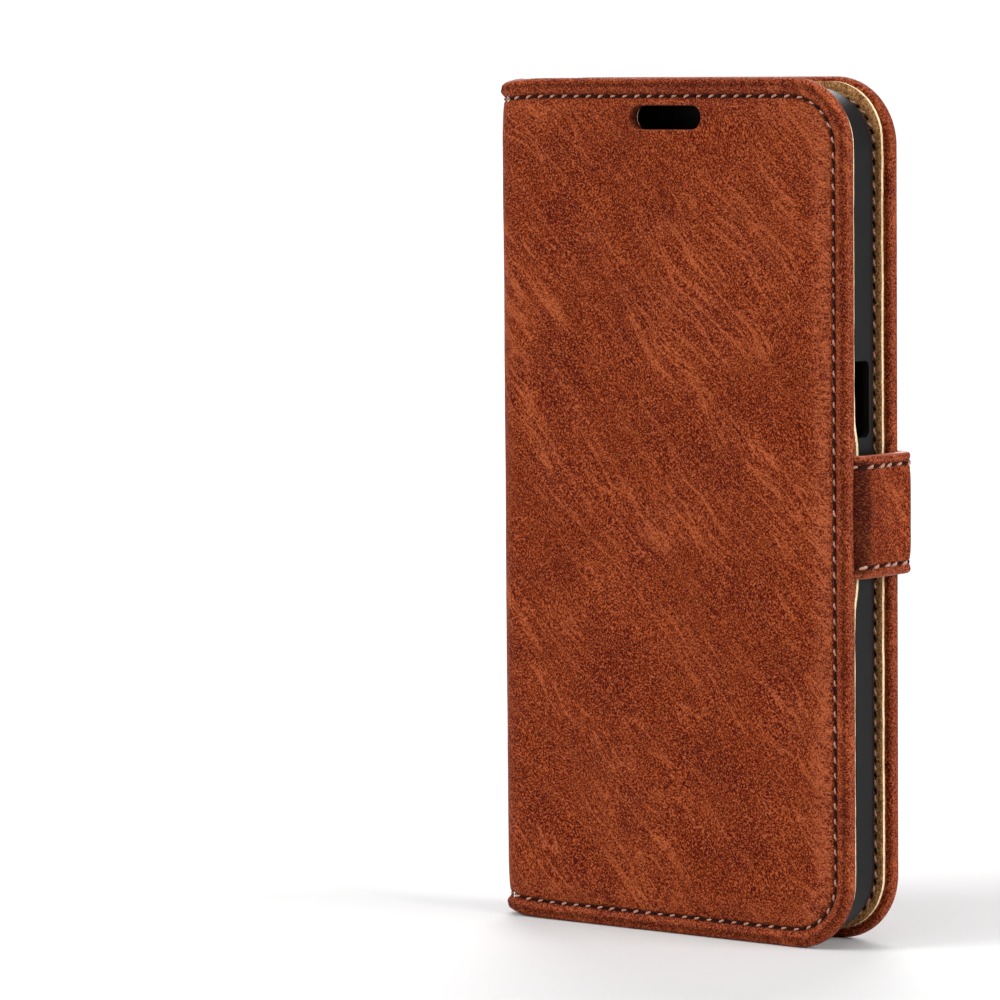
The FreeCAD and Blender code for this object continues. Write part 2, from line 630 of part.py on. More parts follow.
def strap_tip():
    """The part of the strap that lies on the back cover and holds the magnet."""
    start = "strap_x - strap_clear"
    round_end = ("strap_corner", None, None, "strap_corner")
    upper = "strap_y + strap_leather"

    leather = new_body("strap_tip_leather")
    outline = sketch_on(leather, "XZ_Plane", upper)
    rounded_box(outline, "strap_end", start, "strap_low", "strap_high", round_end)
    add(leather, outline, "strap_leather")
    seam = sketch_on(leather, "XZ_Plane", upper)
    inset = "(strap_seam_inset - groove / 2)"
    seam_corner = "(strap_corner - strap_seam_inset + groove)"
    band(seam, f"{start} + past", f"strap_end + {inset}", f"strap_low + {inset}",
         f"strap_high - {inset}", f"{seam_corner} + groove / 2", "groove")
    cut(leather, seam, "groove_depth")

    thread = new_body("strap_tip_thread")
    run = sketch_on(thread, "XZ_Plane", f"{upper} - groove_depth + thread_depth")
    inset = "(strap_seam_inset - thread / 2)"
    band(run, start, f"strap_end + {inset}", f"strap_low + {inset}", f"strap_high - {inset}",
         f"{seam_corner} + thread / 2", "thread")
    add(thread, run, "thread_depth")

    lining = new_body("strap_tip_lining")
    outline = sketch_on(lining, "XZ_Plane", "strap_y")
    rounded_box(outline, "strap_end", start, "strap_low", "strap_high", round_end)
    add(lining, outline, "strap_lining")
    across = ("magnet_x - magnet_long / 2", "magnet_x + magnet_long / 2")
    up = ("strap_low + (strap_width - magnet_tall) / 2", "strap_low + (strap_width + magnet_tall) / 2")
    cut_box(lining, "XZ_Plane", "strap_y", "magnet_thick", f"{across[0]} - tab_fit",
            f"{across[1]} + tab_fit", f"{up[0]} - tab_fit", f"{up[1]} + tab_fit")
    magnet = new_body("strap_magnet")
    outline = sketch_on(magnet, "XZ_Plane", "strap_y")
    rounded_box(outline, *across, *up)
    add(magnet, outline, "magnet_thick")


def check_document():
    """Stop if any object of the document failed, or any sub-part has no valid solid."""
    for item in doc.Objects:
        if "Invalid" in item.State or "Error" in item.State:
            raise RuntimeError(f"{item.Label} did not compute: {item.State}")
        if item.TypeId == "Sketcher::SketchObject" and not item.FullyConstrained:
            raise RuntimeError(f"{item.Label} is not fully constrained")
    for body in PARTS:
        if body.Shape.isNull() or not body.Shape.isValid() or not body.Shape.Solids:
            raise RuntimeError(f"{body.Label} has no valid solid")


def write_parts():
    """Write each sub-part's solids to a file that has its name."""
    os.makedirs("parts", exist_ok=True)
    for body in PARTS:
        body.Shape.exportStep(os.path.join("parts", f"{body.Label}.step"))
        print(f"{body.Label}: {len(body.Shape.Solids)} solid(s), {body.Shape.Volume:.1f} mm3")


fill_sheet()
back_cover()
tray()
spine()
front_cover()
strap_root()
strap_side()
strap_tip()
doc.recompute()
check_document()
write_parts()
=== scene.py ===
"""Looks of a folding phone wallet case: leather covers, suede linings, stitched seams and a strap.

Each cover and its half of the spine are one developed sheet of leather. A place on a sheet is
(u, v, w): u runs along the leather from the sheet's start, v runs up the case, and w stands out of
the leather's outer face. A wrap turns such places into places in the case's own frame, so that
edges, seams, linings and stitches all follow the same path.
"""
import json
import logging
import math
from dataclasses import dataclass, field
from enum import Enum
from typing import Callable, Iterable, Optional, Sequence

import bmesh
import bpy
import numpy as np
from mathutils import Matrix, Vector, noise
from mathutils.geometry import delaunay_2d_cdt


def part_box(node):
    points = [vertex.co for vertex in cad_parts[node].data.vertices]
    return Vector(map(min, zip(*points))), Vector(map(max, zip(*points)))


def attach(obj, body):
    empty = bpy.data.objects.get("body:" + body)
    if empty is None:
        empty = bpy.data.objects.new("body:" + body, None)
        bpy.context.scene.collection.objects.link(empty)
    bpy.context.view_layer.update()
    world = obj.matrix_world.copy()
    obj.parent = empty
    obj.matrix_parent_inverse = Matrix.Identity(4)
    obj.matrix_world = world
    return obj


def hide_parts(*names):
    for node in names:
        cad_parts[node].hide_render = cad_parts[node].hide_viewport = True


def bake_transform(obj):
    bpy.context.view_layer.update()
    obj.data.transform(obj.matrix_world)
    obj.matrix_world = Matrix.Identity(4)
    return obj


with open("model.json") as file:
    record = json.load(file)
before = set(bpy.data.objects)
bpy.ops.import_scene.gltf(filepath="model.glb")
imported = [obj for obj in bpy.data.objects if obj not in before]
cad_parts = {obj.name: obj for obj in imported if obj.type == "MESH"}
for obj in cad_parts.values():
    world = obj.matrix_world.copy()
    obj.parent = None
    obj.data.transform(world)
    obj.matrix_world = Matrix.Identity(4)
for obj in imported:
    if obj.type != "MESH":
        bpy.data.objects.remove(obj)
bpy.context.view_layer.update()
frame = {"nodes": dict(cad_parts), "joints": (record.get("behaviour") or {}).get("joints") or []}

LOG = logging.getLogger("phone_wallet_case")
MM = 0.001
MATERIALS: dict[str, bpy.types.Material] = {}


def mm(*sizes: float) -> tuple[float, ...]:
    """Millimetres as metres."""
    return tuple(size * MM for size in sizes)


class Side(Enum):
    """The two covers, by the way that their outer faces look along Y."""
    FRONT = -1.0
    BACK = 1.0


# ---------------------------------------------------------------- shader expressions


class Sock:
    """A node socket that takes part in Python arithmetic: each operation adds a Math node."""

    def __init__(self, shader: "Shader", socket: bpy.types.NodeSocket) -> None:
        """Hold the socket and the shader that it belongs to."""
        self.shader = shader
        self.socket = socket

    def _math(self, operation: str, *values: object, clamp: bool = False) -> "Sock":
        """Add one Math node."""
        inputs = {number: value for number, value in enumerate(values)}
        return self.shader.node("ShaderNodeMath", {"operation": operation, "use_clamp": clamp}, inputs)

    def __add__(self, other: object) -> "Sock":
        """self + other"""
        return self._math("ADD", self, other)

    __radd__ = __add__

    def __sub__(self, other: object) -> "Sock":
        """self - other"""
        return self._math("SUBTRACT", self, other)

    def __rsub__(self, other: object) -> "Sock":
        """other - self"""
        return self._math("SUBTRACT", other, self)

    def __mul__(self, other: object) -> "Sock":
        """self * other"""
        return self._math("MULTIPLY", self, other)

    __rmul__ = __mul__

    def absolute(self) -> "Sock":
        """The value without its sign."""
        return self._math("ABSOLUTE", self)

    def clamped(self) -> "Sock":
        """The value held between 0 and 1."""
        return self._math("ADD", self, 0.0, clamp=True)

    def step(self, low: float, high: float) -> "Sock":
        """A smooth step from 0 at low to 1 at high."""
        settings = {"interpolation_type": "SMOOTHSTEP", "clamp": True}
        return self.shader.node("ShaderNodeMapRange", settings, {0: self, 1: low, 2: high, 3: 0.0, 4: 1.0})


class Shader:
    """A material whose nodes are added by expressions."""

    def __init__(self, name: str) -> None:
        """Start an empty material with a Principled shader."""
        self.material = bpy.data.materials.new(name)
        self.material.use_nodes = True
        self.tree = self.material.node_tree
        self.tree.nodes.clear()
        self.output = self.tree.nodes.new("ShaderNodeOutputMaterial")
        self.principled = self.tree.nodes.new("ShaderNodeBsdfPrincipled")
        self.tree.links.new(self.principled.outputs[0], self.output.inputs[0])

    def node(self, kind: str, settings: dict, inputs: dict, output: object = 0) -> Sock:
        """Add a node.

        Args:
            kind: the node's type.
            settings: its own settings, set before its sockets.
            inputs: values or links of its sockets, by name or number.
            output: the socket to return, by name or number.

        Returns:
            The chosen output.
        """
        made = self.tree.nodes.new(kind)
        for name, value in settings.items():
            setattr(made, name, value)
        for name, value in inputs.items():
            if isinstance(value, Sock):
                self.tree.links.new(value.socket, made.inputs[name])
            else:
                made.inputs[name].default_value = value
        return Sock(self, made.outputs[output])

    def place(self) -> Sock:
        """The place on the piece, in metres."""
        return self.node("ShaderNodeTexCoord", {}, {}, "Object")

    def attribute(self, name: str, output: str = "Fac") -> Sock:
        """A value stored on the mesh's points."""
        return self.node("ShaderNodeAttribute", {"attribute_name": name}, {}, output)

    def stretched(self, vector: Sock, turn_degrees: float, scale: Sequence[float]) -> Sock:
        """A vector turned about its third axis, then scaled axis by axis."""
        turned = self.node("ShaderNodeMapping", {"vector_type": "POINT"},
                           {"Vector": vector, "Rotation": (0.0, 0.0, math.radians(turn_degrees))})
        return self.node("ShaderNodeMapping", {"vector_type": "POINT"},
                         {"Vector": turned, "Scale": tuple(scale)})

    def warped(self, vector: Sock, scale: float, amount: float) -> Sock:
        """A vector pushed about by soft noise, by up to half an amount each way."""
        push = self.node("ShaderNodeTexNoise", {}, {"Vector": vector, "Scale": scale, "Detail": 1.0}, "Color")
        centred = self.node("ShaderNodeVectorMath", {"operation": "SUBTRACT"}, {0: push, 1: (0.5, 0.5, 0.5)})
        scaled = self.node("ShaderNodeVectorMath", {"operation": "SCALE"}, {0: centred, "Scale": amount})
        return self.node("ShaderNodeVectorMath", {"operation": "ADD"}, {0: vector, 1: scaled})

    def cell_edge(self, vector: Sock, scale: float) -> Sock:
        """The distance to the nearest border between grain cells, 0 on it."""
        return self.node("ShaderNodeTexVoronoi", {"feature": "DISTANCE_TO_EDGE"},
                         {"Vector": vector, "Scale": scale}, "Distance")

    def noise(self, vector: Sock, scale: float, detail: float = 2.0, roughness: float = 0.5,
              distortion: float = 0.0) -> Sock:
        """Noise from 0 to 1."""
        return self.node("ShaderNodeTexNoise", {}, {"Vector": vector, "Scale": scale, "Detail": detail,
                                                    "Roughness": roughness, "Distortion": distortion})

    def mix(self, factor: object, first: object, second: object) -> Sock:
        """Mix two colours: the first where the factor is 0, the second where it is 1."""
        settings = {"data_type": "RGBA", "blend_type": "MIX", "clamp_factor": True}
        return self.node("ShaderNodeMix", settings, {0: factor, 6: first, 7: second}, 2)

    def bump(self, height: Sock, distance: float, strength: float = 1.0,
             normal: Optional[Sock] = None) -> Sock:
        """A bump of a height in units of distance, over another where one is given."""
        inputs = {"Strength": strength, "Distance": distance, "Height": height}
        if normal is not None:
            inputs["Normal"] = normal
        return self.node("ShaderNodeBump", {}, inputs)

    def set(self, **inputs: object) -> bpy.types.Material:
        """Set the Principled shader's sockets, named with underscores for spaces.

        Returns:
            The finished material.
        """
        for name, value in inputs.items():
            socket = self.principled.inputs[name.replace("_", " ")]
            if isinstance(value, Sock):
                self.tree.links.new(value.socket, socket)
            else:
                socket.default_value = value
        return self.material


def rgb(red: float, green: float, blue: float) -> tuple[float, float, float, float]:
    """A linear colour."""
    return (red, green, blue, 1.0)


# ---------------------------------------------------------------- finishes


@dataclass(frozen=True)
class Leather:
    """Cognac leather-look: cell grain, paler pull-up creases in slanting groups, painted shade in the seams,
    and a paler tone for rubbed edges and painted sheen.
    """
    name: str = "cognac_leather"
    body: tuple = rgb(0.242, 0.0300, 0.0016)
    deep: tuple = rgb(0.178, 0.0165, 0.0005)
    dark: tuple = rgb(0.043, 0.0006, 0.0001)
    light: tuple = rgb(0.415, 0.100, 0.034)
    # Paler tone for rubbed edges and the opening's rim, and painted sheen on the bead's ridge, the spine's
    # bend and the puckers.
    pale: tuple = rgb(0.440, 0.128, 0.074)
    # Near-black painted shade for the stitched groove, the fold inside the bead and the strap's root.
    groove: tuple = rgb(0.016, 0.003, 0.0015)
    cells_per_m: float = 2400.0
    grain_per_m: float = 4300.0
    crease_turn: float = -43.0
    blotch_per_m: float = 78.0
    patch_per_m: float = 80.0
    bend_per_m: float = 55.0
    bend_reach: float = 0.0065
    strand_per_m: float = 330.0
    fine_per_m: float = 760.0
    pinch_per_m: float = 620.0
    fold_per_m: float = 190.0
    grain_depth: float = 0.00020
    fold_depth: float = 0.00060

    def build(self) -> bpy.types.Material:
        """Make the material. It reads the sheet's own places, so that nothing stretches at a bend."""
        s = Shader(self.name)
        flat = s.attribute("sheet", "Vector")
        seam, worn, crimp = s.attribute("seam"), s.attribute("worn"), s.attribute("crimp")
        bent = s.warped(flat, self.bend_per_m, self.bend_reach)
        blotch = s.noise(flat, self.blotch_per_m, 3.0, 0.55)
        group = s.stretched(flat, self.crease_turn, (1.0, 0.40, 1.0))
        patch = s.noise(group, self.patch_per_m, 2.0, 0.5, 0.3)
        drawn = s.stretched(bent, self.crease_turn, (1.0, 0.62, 1.0))
        cell = s.cell_edge(s.warped(drawn, 1400.0, 0.0005), self.cells_per_m)
        grain = s.noise(drawn, self.grain_per_m, 2.0, 0.68)
        slant = s.stretched(bent, self.crease_turn, (1.0, 0.09, 1.0))
        strand = s.stretched(bent, self.crease_turn, (1.0, 0.055, 1.0))
        lines = self.ridge(s.noise(strand, self.strand_per_m, 2.0, 0.50, 0.10), 14.0)
        fine = self.ridge(s.noise(slant, self.fine_per_m, 2.0, 0.6, 0.2), 9.0)
        gathered = s.stretched(bent, 8.0, (0.38, 1.0, 1.0))
        pinch = self.ridge(s.noise(gathered, self.pinch_per_m, 2.0, 0.6, 0.4), 5.0)
        where = patch.step(0.46, 0.62)
        streak = lines * (where * 0.54 + 0.26) + fine * (where * 0.22 + 0.06) + pinch * crimp

        level = grain + streak * 0.072 + where * 0.010
        tone = s.mix(blotch.step(0.38, 0.54), self.deep, self.body)
        tone = s.mix(cell.step(0.20, 0.04) * (0.85 - streak * 0.35), tone, self.dark)
        tone = s.mix(level.step(0.490, 0.390) * 0.85, tone, self.dark)
        tone = s.mix(level.step(0.515, 0.640) * 0.90, tone, self.light)
        tone = s.mix(streak * (grain.step(0.36, 0.58) * 0.40 + 0.20), tone, self.light)
        # Paler tone: rubbed edges and rims, plus painted sheen and highlights on the bead, the spine's bend
        # and the puckers.
        tone = s.mix((worn + crimp * 0.18) * grain.step(0.30, 0.62) * 0.8, tone, self.pale)
        # Painted shade: the seam mask darkens the stitched groove, the fold inside the bead and the strap's
        # root.
        tone = s.mix(seam, tone, self.groove)

        height = cell.step(0.02, 0.20) * 0.35 + grain * 0.65 + lines * where * 0.30
        normal = s.bump(height + fine * 0.18 + pinch * crimp * 0.9, self.grain_depth, 0.95)
        normal = s.bump(s.noise(slant, self.fold_per_m, 2.0, 0.5, 0.5), self.fold_depth, 0.30, normal)
        rough = 0.46 + grain * 0.16
        return s.set(Base_Color=tone, Roughness=rough, Normal=normal, Specular_IOR_Level=0.045)

    @staticmethod
    def ridge(field_value: Sock, sharpness: float) -> Sock:
        """Thin lines, 1 in their middle, where a noise passes its middle value."""
        return (1.0 - (field_value * 2.0 - 1.0).absolute() * sharpness).clamped()


@dataclass(frozen=True)
class Suede:
    """Tan microfibre with dark and pale specks of nap."""
    name: str = "tan_suede"
    body: tuple = rgb(0.300, 0.135, 0.045)
    dark: tuple = rgb(0.070, 0.024, 0.006)
    light: tuple = rgb(0.560, 0.300, 0.120)

    def build(self) -> bpy.types.Material:
        """Make the material."""
        s = Shader(self.name)
        place = s.place()
        nap = s.noise(place, 3300.0, 2.0, 0.65)
        brush = s.noise(s.stretched(place, 24.0, (1.0, 1.0, 0.35)), 900.0, 3.0, 0.6, 0.4)
        cloud = s.noise(place, 110.0, 2.0, 0.5)
        tone = s.mix(cloud * 0.35, self.body, self.light)
        tone = s.mix(nap.step(0.52, 0.40) * 0.85, tone, self.dark)
        tone = s.mix(nap.step(0.57, 0.68) * 0.8, tone, self.light)
        tone = s.mix(brush.step(0.55, 0.35) * 0.35, tone, self.dark)
        normal = s.bump(nap * 0.7 + brush * 0.5, 0.00030, 0.9)
        return s.set(Base_Color=tone, Roughness=0.96, Normal=normal, Specular_IOR_Level=0.12,
                     Sheen_Weight=0.10, Sheen_Roughness=0.5, Sheen_Tint=rgb(0.8, 0.62, 0.42))


@dataclass(frozen=True)
class Plain:
    """A finish with one colour, broken up by fine noise in colour, gloss and height."""
    name: str
    colour: tuple
    shade: tuple
    roughness: float
    scale: float
    depth_m: float = 0.00005
    metallic: float = 0.0
    specular: float = 0.4
    spread: float = 0.12
    stretch: tuple = (1.0, 1.0, 1.0)

    def build(self) -> bpy.types.Material:
        """Make the material."""
        s = Shader(self.name)
        place = s.stretched(s.place(), 0.0, self.stretch)
        coarse = s.noise(place, self.scale * 0.08, 2.0, 0.5)
        fine = s.noise(place, self.scale, 3.0, 0.6)
        tone = s.mix((fine * 0.6 + coarse * 0.4).step(0.35, 0.65), self.shade, self.colour)
        rough = (self.roughness - self.spread / 2) + fine * self.spread
        return s.set(Base_Color=tone, Roughness=rough, Metallic=self.metallic,
                     Specular_IOR_Level=self.specular, Normal=s.bump(fine, self.depth_m, 0.8))


@dataclass(frozen=True)
class Thread:
    """Spun sewing thread, its twist drawn along each stitch."""
    name: str = "sewing_thread"
    colour: tuple = rgb(0.470, 0.245, 0.180)
    shade: tuple = rgb(0.190, 0.072, 0.046)

    def build(self) -> bpy.types.Material:
        """Make the material."""
        s = Shader(self.name)
        fibre = s.noise(s.place(), 5200.0, 2.0, 0.6)
        tone = s.mix(fibre.step(0.32, 0.62), self.shade, self.colour)
        return s.set(Base_Color=tone, Roughness=0.62, Normal=s.bump(fibre, 0.00008, 0.8),
                     Sheen_Weight=0.25, Sheen_Roughness=0.4, Specular_IOR_Level=0.3)


def finishes() -> None:
    """Build every finish once."""
    plain = [
        Plain("cream_cut_edge", rgb(0.88, 0.72, 0.48), rgb(0.58, 0.40, 0.22), 0.92, 1500.0, 0.00012,
              specular=0.15),
        Plain("painted_edge", rgb(0.40, 0.125, 0.070), rgb(0.25, 0.055, 0.024), 0.46, 420.0, 0.00008),
        # Painted shade: near-black finish for the pits between stitches, standing in for the shaded needle
        # holes.
        Plain("needle_hole", rgb(0.020, 0.006, 0.004), rgb(0.006, 0.002, 0.002), 0.9, 2500.0,
              specular=0.1),
        Plain("black_tray", rgb(0.0055, 0.0049, 0.0056), rgb(0.0032, 0.0028, 0.0033), 0.46, 2600.0,
              0.00002, specular=0.19),
        Plain("spine_card", rgb(0.30, 0.25, 0.20), rgb(0.20, 0.16, 0.12), 0.9, 700.0, 0.0001),
        Plain("grey_board", rgb(0.34, 0.31, 0.28), rgb(0.22, 0.20, 0.17), 0.92, 600.0, 0.0001),
        Plain("pale_foam", rgb(0.74, 0.72, 0.68), rgb(0.58, 0.56, 0.52), 0.95, 1400.0, 0.0002),
        Plain("plated_steel", rgb(0.58, 0.58, 0.60), rgb(0.44, 0.44, 0.46), 0.32, 900.0, 0.00001,
              metallic=1.0, stretch=(0.05, 1.0, 1.0)),
        Plain("nickel_magnet", rgb(0.55, 0.54, 0.52), rgb(0.46, 0.45, 0.44), 0.25, 300.0, 0.00001,
              metallic=1.0),
        Plain("mounting_tape", rgb(0.78, 0.78, 0.74), rgb(0.66, 0.66, 0.62), 0.6, 500.0, 0.00005),
        Plain("pale_floor", rgb(0.575, 0.575, 0.575), rgb(0.570, 0.570, 0.570), 0.75, 60.0, 0.00001,
              specular=0.15),
    ]
    for finish in (Leather(), Suede(), Thread(), *plain):
        MATERIALS[finish.name] = finish.build()


# ---------------------------------------------------------------- sizes and wraps


@dataclass(frozen=True)
class CaseFrame:
    """Places of the closed case, read from the frame, in metres."""
    spine_x: float
    spine_inner_x: float
    free_x: float
    front_y: float
    back_y: float
    height: float
    cover_thick: float
    board_depth: float
    corner: float = 12.0 * MM
    spine_turn: float = 6.0 * MM
    spine_tuck: float = 0.6 * MM

    @classmethod
    def read(cls) -> "CaseFrame":
        """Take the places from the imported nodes' boxes."""
        back_low, back_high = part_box("back_leather")
        front_low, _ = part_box("front_leather")
        spine_low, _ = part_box("spine_leather")
        _, spine_lining_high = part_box("spine_lining")
        lining_low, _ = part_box("back_lining")
        return cls(spine_x=spine_low.x, spine_inner_x=spine_lining_high.x, free_x=back_high.x,
                   front_y=front_low.y, back_y=back_high.y, height=back_high.z - back_low.z,
                   cover_thick=back_high.y - lining_low.y, board_depth=back_high.y - back_low.y)

    @property
    def middle_y(self) -> float:
        """The plane half-way between the covers' outer faces."""
        return (self.front_y + self.back_y) / 2


@dataclass(frozen=True)
class CoverWrap:
    """One cover and its half of the spine, developed from the spine's middle line outwards."""
    case: CaseFrame
    side: Side

    @property
    def sign(self) -> float:
        """1 for the back cover, -1 for the front cover."""
        return self.side.value

    @property
    def face_y(self) -> float:
        """The cover's outer face."""
        return self.case.back_y if self.side is Side.BACK else self.case.front_y

    @property
    def straight(self) -> float:
        """The flat part of the spine, from its middle line."""
        return abs(self.face_y - self.case.middle_y) - self.case.spine_turn

    @property
    def turned(self) -> float:
        """Where the cover's flat part starts."""
        return self.straight + self.case.spine_turn * math.pi / 2

    @property
    def bend_middle(self) -> float:
        """The middle of the bend between the spine and the cover."""
        return (self.straight + self.turned) / 2

    @property
    def width(self) -> float:
        """The free edge."""
        return self.turned + self.case.free_x - self.case.spine_x - self.case.spine_turn

    @property
    def height(self) -> float:
        """The sheet's length up the case."""
        return self.case.height

    @property
    def corner(self) -> float:
        """The radius of the two free corners."""
        return self.case.corner

    def across(self, x: float) -> float:
        """The u of a place on the cover's flat part."""
        return self.turned + x - self.case.spine_x - self.case.spine_turn

    def place(self, u: np.ndarray, v: np.ndarray, w: np.ndarray) -> np.ndarray:
        """Turn sheet places into places in the case's frame.

        Returns:
            An array of points, one row each.
        """
        case, turn = self.case, self.case.spine_turn
        u, v, w = np.broadcast_arrays(np.asarray(u, float), np.asarray(v, float), np.asarray(w, float))
        angle = np.clip((u - self.straight) / turn, 0.0, math.pi / 2)
        x = case.spine_x + turn - (turn + w) * np.cos(angle)
        y = self.face_y + self.sign * ((turn + w) * np.sin(angle) - turn)
        x = x + np.maximum(u - self.turned, 0.0)
        y = y - self.sign * np.maximum(self.straight - u, 0.0)
        tuck = case.spine_tuck * bell(u - self.bend_middle, turn * 0.9)
        return np.stack([x, y, v + tuck * (1.0 - 2.0 * v / case.height)], axis=-1)

    def outward(self, u: np.ndarray) -> np.ndarray:
        """The direction that w grows in."""
        angle = np.clip((np.asarray(u, float) - self.straight) / self.case.spine_turn, 0.0, math.pi / 2)
        return np.stack([-np.cos(angle), self.sign * np.sin(angle), np.zeros_like(angle)], axis=-1)

    def sheet_place(self, u: np.ndarray, v: np.ndarray, w: np.ndarray) -> np.ndarray:
        """Places for patterns: one sheet runs on through the spine from cover to cover."""
        return np.stack([-self.sign * u, v, w], axis=-1)


@dataclass(frozen=True)
class StrapWrap:
    """The strap, developed from its root inside the front cover, along its middle surface."""
    start: tuple[float, float]
    root_x: float
    tip_y: float
    end_x: float
    low: float
    high: float
    turn: float = 1.45 * MM
    corner: float = 2.7 * MM

    @classmethod
    def read(cls) -> "StrapWrap":
        """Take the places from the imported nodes' boxes and joints."""
        tab_low, tab_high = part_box("strap_tab")
        tip_low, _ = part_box("strap_tip_leather")
        pivots = {joint["name"]: joint["pos_m"] for joint in frame["joints"]}
        root, tip = pivots["strap_root_crease"], pivots["strap_tip_crease"]
        return cls(start=(tab_low.x, root[1]), root_x=root[0], tip_y=tip[1], end_x=tip_low.x,
                   low=tab_low.z, high=tab_high.z)

    @property
    def marks(self) -> tuple[float, float, float, float, float]:
        """Where each stretch of the path ends: tab, first turn, side, second turn, tip."""
        quarter = self.turn * math.pi / 2
        tab = self.root_x - self.turn - self.start[0]
        side = tab + quarter + (self.tip_y - self.start[1]) - 2 * self.turn
        return (tab, tab + quarter, side, side + quarter,
                side + quarter + self.root_x - self.turn - self.end_x)

    @property
    def width(self) -> float:
        """The strap's whole length along its path."""
        return self.marks[4]

    @property
    def height(self) -> float:
        """The strap's size up the case."""
        return self.high - self.low

    def place(self, u: np.ndarray, v: np.ndarray, w: np.ndarray) -> np.ndarray:
        """Turn sheet places into places in the case's frame."""
        u, v, w = np.broadcast_arrays(np.asarray(u, float), np.asarray(v, float), np.asarray(w, float))
        tab, bend_one, side, bend_two, _ = self.marks
        turn, (x0, y0) = self.turn, self.start
        first = np.clip((u - tab) / turn, 0.0, math.pi / 2)
        second = np.clip((u - side) / turn, 0.0, math.pi / 2)
        x = x0 + np.minimum(u, tab) + turn * np.sin(first) - turn * (1.0 - np.cos(second))
        x = x - np.maximum(u - bend_two, 0.0)
        y = y0 + turn * (1.0 - np.cos(first)) + np.clip(u - bend_one, 0.0, side - bend_one)
        y = y + turn * np.sin(second)
        out = self.outward(u)
        return np.stack([x + out[..., 0] * w, y + out[..., 1] * w, v + self.low], axis=-1)

    def outward(self, u: np.ndarray) -> np.ndarray:
        """The direction that w grows in."""
        tab, _, side, _, _ = self.marks
        u = np.asarray(u, float)
        angle = np.clip((u - tab) / self.turn, 0.0, math.pi / 2)
        angle = angle + np.clip((u - side) / self.turn, 0.0, math.pi / 2)
        return np.stack([np.sin(angle), -np.cos(angle), np.zeros_like(angle)], axis=-1)

    def sheet_place(self, u: np.ndarray, v: np.ndarray, w: np.ndarray) -> np.ndarray:
        """Places for patterns, apart from the covers' own."""
        return np.stack([u + 0.31, v + 0.07, w], axis=-1)


# ---------------------------------------------------------------- outlines


@dataclass(frozen=True)
class Outline:
    """A sheet's outline, open at its start: low edge, round corner, far edge, corner, high edge."""
    width: float
    height: float
    corner: float

    def from_edge(self, u: np.ndarray, v: np.ndarray) -> np.ndarray:
        """How far a place lies inside the outline, not counting the open start."""
        far, low = self.width - u, np.minimum(v, self.height - v)
        near_corner = (far < self.corner) & (low < self.corner)
        rounded = self.corner - np.hypot(self.corner - far, self.corner - low)
        return np.where(near_corner, rounded, np.minimum(far, low))

    def columns(self, step: float, seam: float) -> tuple[np.ndarray, np.ndarray]:
        """Even steps along a line inside the outline.

        Args:
            step: the distance between columns.
            seam: the inset of the line along which the steps are even.

        Returns:
            The columns' numbers (part, share of the part) and their distance along the line.
        """
        arc = (self.corner - seam) * math.pi / 2
        run = self.width - self.corner
        lengths = [run, arc, self.height - 2 * self.corner, arc, run]
        codes, along, before = [], [], 0.0
        for part, length in enumerate(lengths):
            count = max(2, round(length / step))
            last = count + 1 if part == 4 else count
            codes += [(part, index / count) for index in range(last)]
            along += [before + length * index / count for index in range(last)]
            before += length
        return np.array(codes), np.array(along)

    def loop(self, codes: np.ndarray, inset: float) -> tuple[np.ndarray, np.ndarray]:
        """The places of all columns at one inset from the outline."""
        part, share = codes[:, 0], codes[:, 1]
        run = self.width - self.corner
        reach = self.corner - inset
        rise = self.height - 2 * self.corner
        bend = share * math.pi / 2
        u = np.select(
            [part == 0, part == 1, part == 2, part == 3],
            [share * run, self.width - self.corner + reach * np.sin(bend),
             np.full_like(share, self.width - inset), self.width - self.corner + reach * np.cos(bend)],
            (1.0 - share) * run)
        v = np.select(
            [part == 0, part == 1, part == 2, part == 3],
            [np.full_like(share, inset), self.corner - reach * np.cos(bend),
             self.corner + share * rise, self.height - self.corner + reach * np.sin(bend)],
            np.full_like(share, self.height - inset))
        return u, v

    def closed(self, codes: np.ndarray, inset: float, step: float) -> np.ndarray:
        """The loop at one inset, closed by a line of points down the open start."""
        u, v = self.loop(codes, inset)
        return self.closing(u, v, inset, step)

    def closing(self, u: np.ndarray, v: np.ndarray, inset: float, step: float) -> np.ndarray:
        """A given loop, closed by a line of points down the open start."""
        start = np.arange(inset + step, self.height - inset - step / 2, step)[::-1]
        return np.concatenate([np.stack([u, v], 1), np.stack([np.zeros_like(start), start], 1)])


